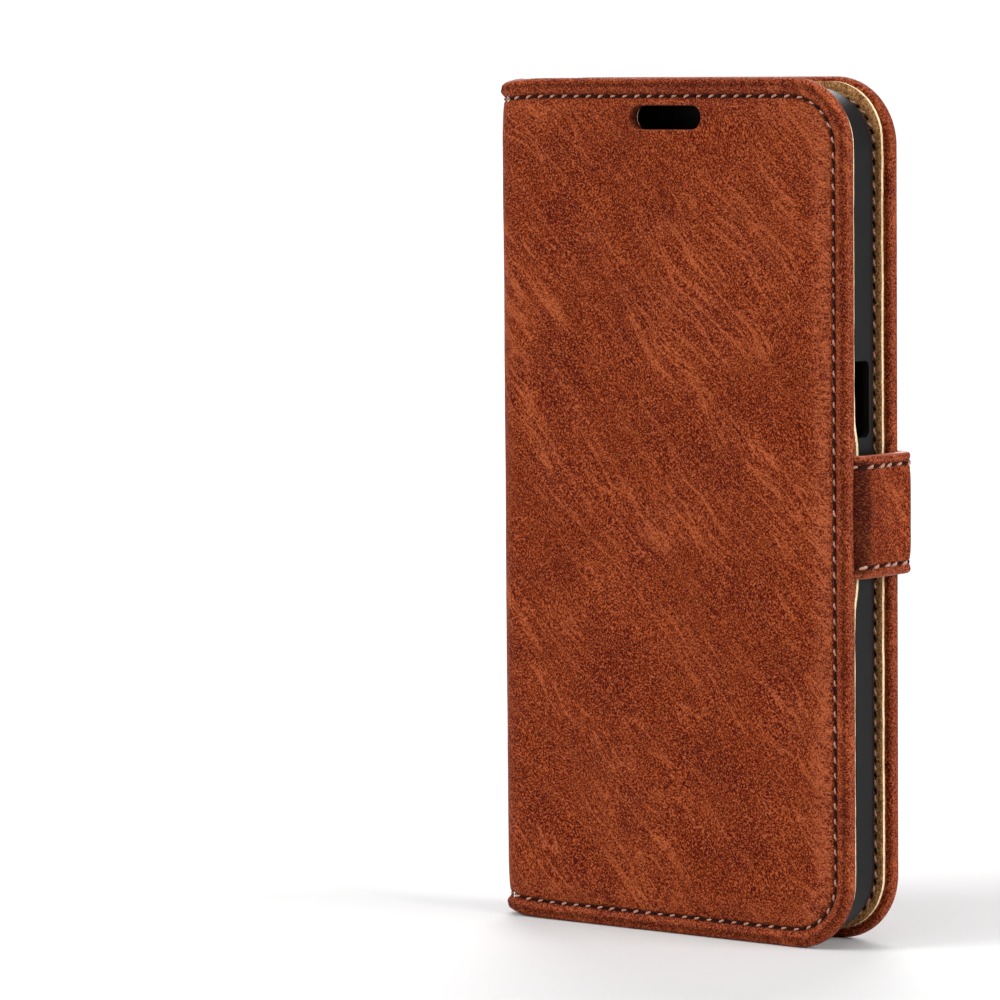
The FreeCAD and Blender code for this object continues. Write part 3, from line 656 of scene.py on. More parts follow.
@dataclass(frozen=True)
class Hole:
    """A rounded opening in a sheet, with a radius of its own for its low-u and high-u corners."""
    left: float
    right: float
    low: float
    high: float
    left_round: float
    right_round: float

    def loop(self, outset: float, steps: int = 14) -> tuple[np.ndarray, np.ndarray]:
        """The opening's outline, grown by a distance, anticlockwise."""
        corners = [(self.right, self.low, self.right_round, -90.0),
                   (self.right, self.high, self.right_round, 0.0),
                   (self.left, self.high, self.left_round, 90.0),
                   (self.left, self.low, self.left_round, 180.0)]
        u, v = [], []
        for x, y, radius, first in corners:
            centre_x = x - radius if x == self.right else x + radius
            centre_y = y + radius if y == self.low else y - radius
            for index in range(steps + 1):
                angle = math.radians(first + 90.0 * index / steps)
                u.append(centre_x + (radius + outset) * math.cos(angle))
                v.append(centre_y + (radius + outset) * math.sin(angle))
        runs = np.array([u, v]).T
        fine = []
        for here, after in zip(runs, np.roll(runs, -1, axis=0)):
            gap = float(np.hypot(*(after - here)))
            if gap < 1e-7:
                continue
            count = max(1, math.ceil(gap / (1.2 * MM)))
            fine += [here + (after - here) * index / count for index in range(count)]
        fine = np.array(fine)
        return fine[:, 0], fine[:, 1]

    def outside(self, u: np.ndarray, v: np.ndarray) -> np.ndarray:
        """How far a place lies outside the opening (negative inside)."""
        middle_u, middle_v = (self.left + self.right) / 2, (self.low + self.high) / 2
        radius = np.where(u > middle_u, self.right_round, self.left_round)
        over_u = np.abs(u - middle_u) - ((self.right - self.left) / 2 - radius)
        over_v = np.abs(v - middle_v) - ((self.high - self.low) / 2 - radius)
        beyond = np.hypot(np.maximum(over_u, 0.0), np.maximum(over_v, 0.0))
        return beyond + np.minimum(np.maximum(over_u, over_v), 0.0) - radius


def filled(border: np.ndarray, holes: list[np.ndarray], us: np.ndarray, vs: np.ndarray,
           inside: Callable[[np.ndarray, np.ndarray], np.ndarray],
           clear: float) -> tuple[np.ndarray, np.ndarray]:
    """Triangles between a border and its holes, on a lattice of points.

    Args:
        border: the closed border's points.
        holes: closed loops to leave open.
        us: the lattice's columns.
        vs: the lattice's rows.
        inside: how far a place lies inside the border and outside the holes.
        clear: lattice points closer than this to the border or a hole are left out.

    Returns:
        The points, and the triangles as rows of point numbers.
    """
    grid_u, grid_v = (part.ravel() for part in np.meshgrid(us, vs))
    keep = inside(grid_u, grid_v) > clear
    points = [np.stack([grid_u[keep], grid_v[keep]], axis=1)]
    edges, count = [], int(keep.sum())
    for ring in [border, *holes]:
        size = len(ring)
        edges += [(count + index, count + (index + 1) % size) for index in range(size)]
        points.append(ring)
        count += size
    given = np.concatenate(points)
    found, _, faces, *_ = delaunay_2d_cdt([Vector(point / MM) for point in given], edges, [], 1, 1e-6)
    found = np.array([tuple(point) for point in found]) * MM
    faces = np.array([tuple(face) for face in faces if len(face) == 3])
    middle = found[faces].mean(axis=1)
    faces = faces[inside(middle[:, 0], middle[:, 1]) > -1e-7]
    a, b, c = (found[faces[:, number]] for number in range(3))
    turn = (b[:, 0] - a[:, 0]) * (c[:, 1] - a[:, 1]) - (b[:, 1] - a[:, 1]) * (c[:, 0] - a[:, 0])
    faces = np.where(turn[:, None] < 0, faces[:, ::-1], faces)
    return found, faces[np.abs(turn) > 1e-12]


# ---------------------------------------------------------------- mesh making


@dataclass
class Parts:
    """Points with sheet places and masks, and faces with material numbers, gathered for one mesh."""
    wrap: object
    u: list = field(default_factory=list)
    v: list = field(default_factory=list)
    w: list = field(default_factory=list)
    masks: dict = field(default_factory=dict)
    faces: list = field(default_factory=list)
    kinds: list = field(default_factory=list)

    def points(self, u: np.ndarray, v: np.ndarray, w: np.ndarray, **masks: np.ndarray) -> int:
        """Add points and return the number of the first one."""
        first = len(self.u)
        u, v, w = np.broadcast_arrays(u, v, w)
        self.u += list(u)
        self.v += list(v)
        self.w += list(w)
        for name in ("seam", "worn", "crimp"):
            values = np.broadcast_to(masks.get(name, 0.0), u.shape)
            self.masks.setdefault(name, []).extend(values)
        return first

    def strip(self, first: int, second: int, count: int, closed: bool = False, kind: int = 0) -> None:
        """Join two rows of points of equal length with quads."""
        for index in range(count if closed else count - 1):
            after = (index + 1) % count
            self.faces.append((first + index, first + after, second + after, second + index))
            self.kinds.append(kind)

    def triangles(self, first: int, faces: np.ndarray, flip: bool = False, kind: int = 0) -> None:
        """Add triangles, given by numbers that start at one point."""
        for face in faces:
            numbers = tuple(int(first + corner) for corner in face)
            self.faces.append(numbers[::-1] if flip else numbers)
            self.kinds.append(kind)

    def mesh(self, name: str, materials: Sequence[str], merge: float = 0.004 * MM) -> bpy.types.Object:
        """Make the object, with its points wrapped into the case's frame and doubles merged."""
        u, v, w = (np.array(part) for part in (self.u, self.v, self.w))
        data = bpy.data.meshes.new(name)
        data.from_pydata([tuple(point) for point in self.wrap.place(u, v, w)], [], self.faces)
        for material in materials:
            data.materials.append(MATERIALS[material])
        data.polygons.foreach_set("material_index", self.kinds)
        data.polygons.foreach_set("use_smooth", [True] * len(self.kinds))
        sheet = data.attributes.new("sheet", "FLOAT_VECTOR", "POINT")
        sheet.data.foreach_set("vector", self.wrap.sheet_place(u, v, w).astype(np.float32).ravel())
        for mask, values in self.masks.items():
            layer = data.attributes.new(mask, "FLOAT", "POINT")
            layer.data.foreach_set("value", np.array(values, np.float32))
        work = bmesh.new()
        work.from_mesh(data)
        bmesh.ops.remove_doubles(work, verts=work.verts, dist=merge)
        work.to_mesh(data)
        work.free()
        made = bpy.data.objects.new(name, data)
        bpy.context.scene.collection.objects.link(made)
        return made


def finished(piece: bpy.types.Object) -> bpy.types.Object:
    """Apply a piece's modifiers to its mesh."""
    bpy.context.view_layer.update()
    graph = bpy.context.evaluated_depsgraph_get()
    data = bpy.data.meshes.new_from_object(piece.evaluated_get(graph), depsgraph=graph)
    old = piece.data
    piece.modifiers.clear()
    piece.data = data
    data.name = piece.name
    bpy.data.meshes.remove(old)
    return piece


def recalculated(piece: bpy.types.Object) -> bpy.types.Object:
    """Turn a closed mesh's faces outwards."""
    work = bmesh.new()
    work.from_mesh(piece.data)
    bmesh.ops.recalc_face_normals(work, faces=work.faces)
    work.to_mesh(piece.data)
    work.free()
    return piece


def thickened(piece: bpy.types.Object, thick: float) -> bpy.types.Object:
    """Give a sheet its thickness, on its inner side."""
    solidify = piece.modifiers.new("thickness", "SOLIDIFY")
    solidify.thickness = thick
    solidify.offset = -1.0
    solidify.use_even_offset = False
    return finished(piece)


def cut_at(piece: bpy.types.Object, name: str, place: Vector, away: Vector) -> bpy.types.Object:
    """A copy of a mesh without what lies beyond a plane."""
    data = piece.data.copy()
    work = bmesh.new()
    work.from_mesh(data)
    geometry = [*work.verts, *work.edges, *work.faces]
    bmesh.ops.bisect_plane(work, geom=geometry, plane_co=place, plane_no=away, clear_outer=True, dist=1e-7)
    work.to_mesh(data)
    work.free()
    made = bpy.data.objects.new(name, data)
    data.name = name
    bpy.context.scene.collection.objects.link(made)
    return made


def wave(place: np.ndarray, period: float, phase: float = 0.0) -> np.ndarray:
    """A cosine of a place."""
    return np.cos(2.0 * math.pi * (place / period + phase))


def bell(distance: np.ndarray, width: float) -> np.ndarray:
    """A bell curve of a distance: 1 at 0."""
    return np.exp(-(distance / width) ** 2)


def ramp(value: np.ndarray, low: float, high: float) -> np.ndarray:
    """A smooth step from 0 at low to 1 at high."""
    share = np.clip((value - low) / (high - low), 0.0, 1.0)
    return share * share * (3.0 - 2.0 * share)


def ripple(u: np.ndarray, v: np.ndarray, scale: float, seed: float) -> np.ndarray:
    """Smooth noise from about -1 to 1, over places in metres."""
    return np.array([noise.noise(Vector((a * scale, b * scale, seed))) for a, b in zip(u, v)])


# ---------------------------------------------------------------- leather covers


@dataclass(frozen=True)
class Bead:
    """The turned edge and the seam of a leather sheet, in metres."""
    half: float = 1.2 * MM
    seam: float = 3.2 * MM
    groove: float = 0.42 * MM
    groove_half: float = 0.42 * MM
    pinch: float = 0.20 * MM
    pinch_half: float = 1.25 * MM
    pillow: float = 0.16 * MM
    crown: float = 0.16 * MM
    pitch: float = 2.65 * MM
    fold_at: float = 1.28 * MM
    fold: float = 0.12 * MM

    def relief(self, depth: np.ndarray, along: np.ndarray, rough: np.ndarray) -> np.ndarray:
        """How far the outer face stands out of its flat, by distance from the edge.

        Args:
            depth: distance inside the outline.
            along: distance along the seam, for the pull of each stitch.
            rough: noise from -1 to 1, for uneven gathers.
        """
        off = depth - self.seam
        pull = 0.5 + 0.5 * wave(along, self.pitch)
        groove = -self.groove * (0.78 + 0.22 * pull) * bell(off, self.groove_half)
        pinch = -self.pinch * (0.7 + 0.3 * pull) * bell(off, self.pinch_half)
        pillow = self.pillow * bell(depth - self.seam * 0.56, self.seam * 0.22)
        gather = (0.055 * MM * wave(along, self.pitch, 0.5) + 0.075 * MM * rough)
        gather = gather * ramp(depth, 0.2 * MM, 1.2 * MM) * ramp(self.seam - depth, 0.1 * MM, 0.9 * MM)
        crown = self.crown * ramp(off, 0.2 * MM, 7.0 * MM)
        fold = -self.fold * bell(depth - self.fold_at, 0.30 * MM)
        return groove + pinch + pillow + gather + crown + fold


@dataclass
class CoverLeather:
    """The outer leather of one cover and its half of the spine, turned round the board's edge."""
    name: str
    wrap: CoverWrap
    hole: Hole
    rim_round: float
    rim_reach: float
    bead: Bead = Bead()
    thick: float = 0.5 * MM
    lattice: float = 1.45 * MM
    bend_step: float = 0.5 * MM
    column_step: float = 0.442 * MM
    inner_insets: tuple = mm(2.9, 2.0, 1.5)
    seam_insets: tuple = mm(1.5, 1.8, 2.1, 2.4, 2.65, 2.82, 2.95, 3.07, 3.2, 3.33, 3.45, 3.58, 3.75, 3.95)
    roll_steps: int = 10
    rim_steps: int = 7

    def outline(self) -> Outline:
        """The sheet's outline."""
        return Outline(self.wrap.width, self.wrap.height, self.wrap.corner)

    def surface(self, u: np.ndarray, v: np.ndarray, along: np.ndarray) -> np.ndarray:
        """The outer face's height over its flat."""
        depth = self.outline().from_edge(u, v)
        rough = ripple(along, depth * 0.25, 330.0, 2.0 + self.wrap.sign)
        body = ripple(u, v, 60.0, 5.0) * 0.07 * MM + ripple(u, v, 150.0, 9.0) * 0.025 * MM
        body = body * ramp(depth, 3.2 * MM, 7.0 * MM) * ramp(u, 1.0 * MM, 6.0 * MM)
        bulge = 0.32 * MM * bell(u - self.wrap.bend_middle, 2.8 * MM) * ramp(2.9 * MM - depth, 0.0, 1.2 * MM)
        rim = self.rim_round
        out = np.clip(self.hole.outside(u, v), 0.0, rim)
        fall = -rim + np.sqrt(np.maximum(rim ** 2 - (rim - out) ** 2, 0.0))
        return self.bead.relief(depth, along, rough) + body + fall + bulge

    def masks(self, u: np.ndarray, v: np.ndarray, depth: np.ndarray) -> dict[str, np.ndarray]:
        """Painted shade in the seam's groove and along the fold inside the bead; a paler tone for the rubbed
        edge and rim, with painted sheen on the bead's ridge and the spine's bend; and puckers inside the
        seam, painted paler as a highlight towards the free edge.
        """
        bend = bell(u - self.wrap.bend_middle + 0.4 * MM, 1.7 * MM)
        edge = bell(depth - 0.18 * MM, 0.26 * MM)
        bead = bell(depth - 2.2 * MM, 0.55 * MM)
        rim = bell(self.hole.outside(u, v), self.rim_round * 0.85)
        seam = bell(depth - self.bead.seam, 0.34 * MM)
        fold = bell(depth - self.bead.fold_at, 0.38 * MM)
        free = ramp(u, self.wrap.width - 12.0 * MM, self.wrap.width - 7.0 * MM)
        band = ramp(depth, 3.3 * MM, 4.2 * MM) * (1.0 - ramp(depth, 5.0 * MM, 8.5 * MM))
        # Rubbed edge and opening's rim, with a painted highlight on the bead's ridge and painted sheen on the
        # spine's bend.
        rubbed_and_sheen = 0.42 * edge + 0.22 * bead + 0.08 * bend + 0.35 * rim
        # The seam mask is painted shade; the puckers' mask also paints them paler as a highlight.
        return {"seam": 0.86 * seam + 0.50 * fold, "crimp": band * (0.25 + 0.75 * free),
                "worn": np.clip(rubbed_and_sheen, 0.0, 0.8) * (1.0 - seam)}

    def build(self) -> bpy.types.Object:
        """Make the sheet: turned edge, seam and face, then its thickness."""
        outline, bead, parts = self.outline(), self.bead, Parts(self.wrap)
        codes, along = outline.columns(self.column_step, bead.seam)
        count = len(codes)
        rows = []
        half = bead.half
        for inset in self.inner_insets:
            u, v = outline.loop(codes, inset)
            rows.append(parts.points(u, v, -2 * half))
        for step in range(self.roll_steps + 1):
            angle = math.pi * (step / self.roll_steps - 0.5)
            inset = half * (1.0 - math.cos(angle))
            u, v = outline.loop(codes, inset)
            rough = ripple(along, np.full(count, inset * 0.25), 330.0, 2.0 + self.wrap.sign)
            gather = 0.04 * MM * rough * math.cos(angle)
            w = half * (math.sin(angle) - 1.0) + self.surface(u, v, along) * ramp(angle, 0.0, math.pi / 2)
            u, v = outline.loop(codes, inset - 0.03 * MM * math.cos(angle))
            depth = np.full(count, inset)
            rows.append(parts.points(u, v, w + gather, **self.masks(u, v, depth)))
        for inset in self.seam_insets:
            u, v = outline.loop(codes, inset)
            depth = np.full(count, inset)
            rows.append(parts.points(u, v, self.surface(u, v, along), **self.masks(u, v, depth)))
        for here, after in zip(rows, rows[1:]):
            parts.strip(here, after, count)

        last = self.seam_insets[-1]
        border = outline.closed(codes, last, self.lattice)
        rings = [self.hole.loop(outset) for outset in self.rim_insets()]
        columns = self.columns()
        rows_v = np.arange(last, outline.height - last, self.lattice)

        def inside(places_u: np.ndarray, places_v: np.ndarray) -> np.ndarray:
            """How far a place lies inside the face, outside the opening's rim."""
            edge = np.minimum(outline.from_edge(places_u, places_v) - last, places_u)
            return np.minimum(edge, self.hole.outside(places_u, places_v) - self.rim_reach)

        found, faces = filled(border, [np.stack(rings[0], 1)], columns, rows_v, inside, 0.22 * MM)
        u, v = found[:, 0], found[:, 1]
        depth = outline.from_edge(u, v)
        along = np.zeros_like(u)
        first = parts.points(u, v, self.face_height(u, v, depth, codes, outline), **self.masks(u, v, depth))
        parts.triangles(first, faces)
        self.rim(parts, rings)
        piece = parts.mesh(self.name, ("cognac_leather",))
        if self.wrap.side is Side.BACK:
            piece.data.flip_normals()
        return thickened(piece, self.thick)

    def face_height(self, u: np.ndarray, v: np.ndarray, depth: np.ndarray, codes: np.ndarray,
                    outline: Outline) -> np.ndarray:
        """The face's height, equal to the last ring's where it meets it."""
        along = np.zeros_like(u)
        ring_u, ring_v = outline.loop(codes, depth.min())
        _, distance = outline.columns(self.column_step, self.bead.seam)
        close = np.nonzero(depth < depth.min() + 1e-6)[0]
        for index in close:
            along[index] = distance[np.argmin((ring_u - u[index]) ** 2 + (ring_v - v[index]) ** 2)]
        return self.surface(u, v, along)

    def columns(self) -> np.ndarray:
        """The lattice's columns: close together where the leather bends."""
        wrap = self.wrap
        bend = np.arange(self.bend_step, wrap.turned + 1.2 * MM, self.bend_step)
        return np.concatenate([bend, np.arange(bend[-1] + self.lattice, wrap.width, self.lattice)])

    def rim_insets(self) -> list[float]:
        """Distances of the opening's rings from its edge, the outermost first."""
        steps = self.rim_steps
        rounds = [self.rim_round * (1.0 - math.sin(math.pi / 2 * index / steps))
                  for index in range(steps + 1)]
        return [self.rim_reach, *rounds]

    def rim(self, parts: Parts, rings: list[tuple[np.ndarray, np.ndarray]]) -> None:
        """The leather turned into the opening."""
        outline = self.outline()
        rows, count = [], len(rings[0][0])
        for u, v in rings:
            depth = outline.from_edge(u, v)
            w = self.surface(u, v, np.zeros_like(u))
            rows.append(parts.points(u, v, w, **self.masks(u, v, depth)))
        u, v = rings[-1]
        for deep in (0.55, 1.0):
            rows.append(parts.points(u, v, np.full(count, -self.wrap.case.board_depth * deep), worn=0.25))
        for here, after in zip(rows, rows[1:]):
            parts.strip(here, after, count, closed=True)


# ---------------------------------------------------------------- linings


@dataclass
class Lining:
    """A suede lining glued inside one cover and its half of the spine, with cream cut edges."""
    name: str
    wrap: CoverWrap
    hole: Hole
    inset: float
    flare: float = 0.0
    flare_low: float = 0.0
    flare_high: float = 0.0
    rise: float = 0.0
    cut_back: float = 0.30 * MM
    thick: float = 0.6 * MM
    lattice: float = 1.6 * MM
    bend_step: float = 0.45 * MM
    ragged: float = 0.10 * MM

    def depth_of(self, u: np.ndarray) -> np.ndarray:
        """How deep the lining's inner face lies: less in the spine than in the cover."""
        case = self.wrap.case
        shallow = case.spine_inner_x - case.spine_x
        middle = self.wrap.bend_middle
        return shallow + (case.cover_thick - shallow) * ramp(u, middle - 2.2 * MM, middle + 1.8 * MM)

    def lift(self, u: np.ndarray, v: np.ndarray) -> np.ndarray:
        """How far the free edge stands away from the cover beside the strap's root."""
        if not self.flare:
            return np.zeros_like(u)
        reach = ramp(u, self.wrap.width - 5.0 * MM, self.wrap.width - 0.3 * MM)
        spread = bell(np.minimum(np.abs(v - self.flare_low), np.abs(v - self.flare_high)), 4.5 * MM)
        between = ((v > self.flare_low) & (v < self.flare_high)) * 0.55
        return self.flare * reach * np.maximum(spread, between)

    def build(self) -> bpy.types.Object:
        """Make the lining as a closed sheet."""
        wrap, inset = self.wrap, self.inset
        outline = Outline(wrap.width, wrap.height, wrap.corner)
        codes, _ = outline.columns(1.3 * MM, inset)
        u, v = outline.loop(codes, inset)
        wobble = ripple(u, v, 300.0, 21.0) * self.ragged * ramp(u, 8 * MM, 12 * MM)
        wobble = wobble + ripple(u, v, 90.0, 25.0) * self.ragged * ramp(u, 8 * MM, 12 * MM)
        u = u + wobble * ((codes[:, 0] >= 1) & (codes[:, 0] <= 3))
        border = outline.closing(u, v, inset, self.lattice)
        ring = np.stack(self.hole.loop(self.cut_back), 1)
        bend = np.arange(self.bend_step, wrap.turned + 1.5 * MM, self.bend_step)
        columns = np.concatenate([bend, np.arange(bend[-1] + self.lattice, wrap.width, self.lattice)])
        rows_v = np.arange(inset, outline.height - inset, self.lattice)

        def inside(places_u: np.ndarray, places_v: np.ndarray) -> np.ndarray:
            """How far a place lies inside the lining."""
            edge = np.minimum(outline.from_edge(places_u, places_v) - inset + 0.2 * MM, places_u)
            return np.minimum(edge, self.hole.outside(places_u, places_v) - self.cut_back)

        found, faces = filled(border, [ring], columns, rows_v, inside, 0.5 * MM)
        u, v = found[:, 0], found[:, 1]
        inner = -self.depth_of(u) - self.lift(u, v) + ripple(u, v, 140.0, 3.0) * 0.03 * MM
        outer = inner + np.minimum(self.thick, self.depth_of(u) - 0.75 * MM)
        found[:, 1] = v + self.rise * ramp(v, outline.height - 30.0 * MM, outline.height)
        return closed_sheet(self.name, wrap, found, faces, inner, outer, ("tan_suede", "cream_cut_edge"))


def closed_sheet(name: str, wrap: object, found: np.ndarray, faces: np.ndarray, inner: np.ndarray,
                 outer: np.ndarray, materials: Sequence[str]) -> bpy.types.Object:
    """A sheet with two faces and a rim of its own material, which is the second one."""
    parts = Parts(wrap)
    u, v = found[:, 0], found[:, 1]
    below = parts.points(u, v, inner)
    above = parts.points(u, v, outer)
    parts.triangles(below, faces, flip=True)
    parts.triangles(above, faces)
    pairs = np.concatenate([faces[:, [0, 1]], faces[:, [1, 2]], faces[:, [2, 0]]])
    ordered = np.sort(pairs, axis=1)
    _, index, uses = np.unique(ordered, axis=0, return_index=True, return_counts=True)
    for first, second in pairs[index[uses == 1]]:
        parts.faces.append((int(below + first), int(below + second), int(above + second), int(above + first)))
        parts.kinds.append(1)
    piece = parts.mesh(name, materials)
    recalculated(piece)
    rim = [polygon.material_index == 1 for polygon in piece.data.polygons]
    piece.data.polygons.foreach_set("use_smooth", [not edge for edge in rim])
    return piece


# ---------------------------------------------------------------- stitches


@dataclass(frozen=True)
class Stitch:
    """One stitch of a lockstitched seam, and a dark pit beside it: painted shade of the needle hole."""
    length: float = 1.60 * MM
    thick: float = 0.54 * MM
    rise: float = 0.24 * MM
    hole_long: float = 0.80 * MM
    hole_wide: float = 0.38 * MM

    def thread(self) -> bpy.types.Object:
        """A thread that rises out of one hole and dives into the next, along X."""
        rings, sides = 9, 7
        verts, faces = [], []
        for ring in range(rings):
            share = ring / (rings - 1)
            along = (share - 0.5) * self.length
            height = self.rise * math.sin(math.pi * share) - 0.30 * self.rise
            girth = self.thick / 2 * (0.45 + 0.55 * math.sin(math.pi * share) ** 0.5)
            for side in range(sides):
                angle = 2 * math.pi * side / sides + share * 2.4
                lobe = 1.0 + 0.16 * math.cos(2 * angle)
                verts.append((along, girth * lobe * math.cos(angle),
                              height + 0.8 * girth * lobe * math.sin(angle)))
        for ring in range(rings - 1):
            for side in range(sides):
                after = (side + 1) % sides
                faces.append((ring * sides + side, ring * sides + after,
                              (ring + 1) * sides + after, (ring + 1) * sides + side))
        faces.append(tuple(range(sides))[::-1])
        faces.append(tuple((rings - 1) * sides + side for side in range(sides)))
        return self._template("stitch_thread", verts, faces)

    def hole(self) -> bpy.types.Object:
        """A shallow pit along X, whose dark finish is painted shade of a needle hole."""
        sides = 10
        verts = [(0.0, 0.0, 0.03 * MM)]
        for reach, height in ((0.6, 0.02), (1.0, -0.06)):
            for side in range(sides):
                angle = 2 * math.pi * side / sides
                verts.append((self.hole_long * reach * math.cos(angle),
                              self.hole_wide * reach * math.sin(angle), height * MM))
        faces = [(0, 1 + side, 1 + (side + 1) % sides) for side in range(sides)]
        faces += [(1 + side, 1 + sides + side, 1 + sides + (side + 1) % sides, 1 + (side + 1) % sides)
                  for side in range(sides)]
        return self._template("needle_pit", verts, faces)

    @staticmethod
    def _template(name: str, verts: list, faces: list) -> bpy.types.Object:
        """A mesh that is only used as an instance."""
        data = bpy.data.meshes.new(name)
        data.from_pydata(verts, [], faces)
        work = bmesh.new()
        work.from_mesh(data)
        bmesh.ops.recalc_face_normals(work, faces=work.faces)
        if name == "needle_pit" and sum(face.normal.z for face in work.faces) < 0:
            bmesh.ops.reverse_faces(work, faces=work.faces)
        work.to_mesh(data)
        work.free()
        data.polygons.foreach_set("use_smooth", [True] * len(data.polygons))
        return bpy.data.objects.new(name, data)


class SeamTree:
    """A Geometry Nodes tree that sews a row of stitches along a line."""

    INPUTS = (("Thread", "NodeSocketObject"), ("Pit", "NodeSocketObject"), ("Pitch", "NodeSocketFloat"),
              ("Slant", "NodeSocketFloat"), ("Size", "NodeSocketFloat"),
              ("Thread Material", "NodeSocketMaterial"), ("Pit Material", "NodeSocketMaterial"),
              ("Seed", "NodeSocketInt"))

    def __init__(self) -> None:
        """Build the tree."""
        self.tree = bpy.data.node_groups.new("sewn_seam", "GeometryNodeTree")
        face = self.tree.interface
        face.new_socket("Geometry", in_out="INPUT", socket_type="NodeSocketGeometry")
        for name, kind in self.INPUTS:
            face.new_socket(name, in_out="INPUT", socket_type=kind)
        face.new_socket("Geometry", in_out="OUTPUT", socket_type="NodeSocketGeometry")
        self.given = self.tree.nodes.new("NodeGroupInput")
        out = self.tree.nodes.new("NodeGroupOutput")
        curve = self.node("GeometryNodeMeshToCurve", {}, {"Mesh": self.given.outputs["Geometry"]})
        half = self.node("ShaderNodeMath", {"operation": "MULTIPLY"},
                         {0: self.given.outputs["Pitch"], 1: 0.5})
        line = self.node("GeometryNodeResampleCurve", {"mode": "LENGTH"},
                         {"Curve": curve.outputs[0], "Length": half.outputs[0]})
        number = self.node("GeometryNodeInputIndex", {}, {})
        odd = self.node("ShaderNodeMath", {"operation": "MODULO"}, {0: number.outputs[0], 1: 2.0})
        is_shade_pit = self.node("FunctionNodeCompare", {"data_type": "FLOAT", "operation": "LESS_THAN"},
                            {"A": odd.outputs[0], "B": 0.5})
        is_thread = self.node("FunctionNodeBooleanMath", {"operation": "NOT"}, {0: is_shade_pit.outputs[0]})
        tangent = self.node("GeometryNodeInputTangent", {}, {})
        up = self.node("GeometryNodeInputNamedAttribute", {"data_type": "FLOAT_VECTOR"}, {"Name": "up"})
        along = self.node("FunctionNodeAlignRotationToVector", {"axis": "X"}, {"Vector": tangent.outputs[0]})
        stood = self.node("FunctionNodeAlignRotationToVector", {"axis": "Z", "pivot_axis": "X"},
                          {"Rotation": along.outputs[0], "Vector": up.outputs["Attribute"]})
        jitter = self.node("FunctionNodeRandomValue", {"data_type": "FLOAT"},
                           {2: -0.10, 3: 0.10, "Seed": self.given.outputs["Seed"]})
        lean = self.node("ShaderNodeMath", {"operation": "ADD"},
                         {0: self.given.outputs["Slant"], 1: jitter.outputs[1]})
        spin = self.node("ShaderNodeCombineXYZ", {}, {"Z": lean.outputs[0]})
        turn = self.node("FunctionNodeEulerToRotation", {}, {0: spin.outputs[0]})
        slanted = self.node("FunctionNodeRotateRotation", {"rotation_space": "LOCAL"},
                            {"Rotation": stood.outputs[0], "Rotate By": turn.outputs[0]})
        uneven = self.node("FunctionNodeRandomValue", {"data_type": "FLOAT"},
                           {2: 0.90, 3: 1.08, "Seed": self.given.outputs["Seed"]})
        size = self.node("ShaderNodeMath", {"operation": "MULTIPLY"},
                         {0: self.given.outputs["Size"], 1: uneven.outputs[1]})
        rows = [
            self.row(line, is_thread, "Thread", "Thread Material", slanted, size),
            # Dark pits between the threads: painted shade of the needle holes.
            self.row(line, is_shade_pit, "Pit", "Pit Material", slanted, size),
        ]
        joined = self.tree.nodes.new("GeometryNodeJoinGeometry")
        for row in rows:
            self.tree.links.new(row.outputs[0], joined.inputs[0])
        self.tree.links.new(joined.outputs[0], out.inputs[0])

    def node(self, kind: str, settings: dict, inputs: dict) -> bpy.types.Node:
        """Add a node, its settings first."""
        made = self.tree.nodes.new(kind)
        for name, value in settings.items():
            setattr(made, name, value)
        for name, value in inputs.items():
            if isinstance(value, bpy.types.NodeSocket):
                self.tree.links.new(value, made.inputs[name])
            else:
                made.inputs[name].default_value = value
        return made

    def row(self, line: bpy.types.Node, chosen: bpy.types.Node, shape: str, material: str,
            turn: bpy.types.Node, size: bpy.types.Node) -> bpy.types.Node:
        """Set one shape at the chosen points, make it real and give it its material."""
        info = self.node("GeometryNodeObjectInfo", {}, {"Object": self.given.outputs[shape]})
        points = self.node("GeometryNodeInstanceOnPoints", {}, {
            "Points": line.outputs[0], "Selection": chosen.outputs[0], "Instance": info.outputs["Geometry"],
            "Rotation": turn.outputs[0], "Scale": size.outputs[0]})
        real = self.node("GeometryNodeRealizeInstances", {}, {"Geometry": points.outputs[0]})
        return self.node("GeometryNodeSetMaterial", {},
                         {"Geometry": real.outputs[0], "Material": self.given.outputs[material]})


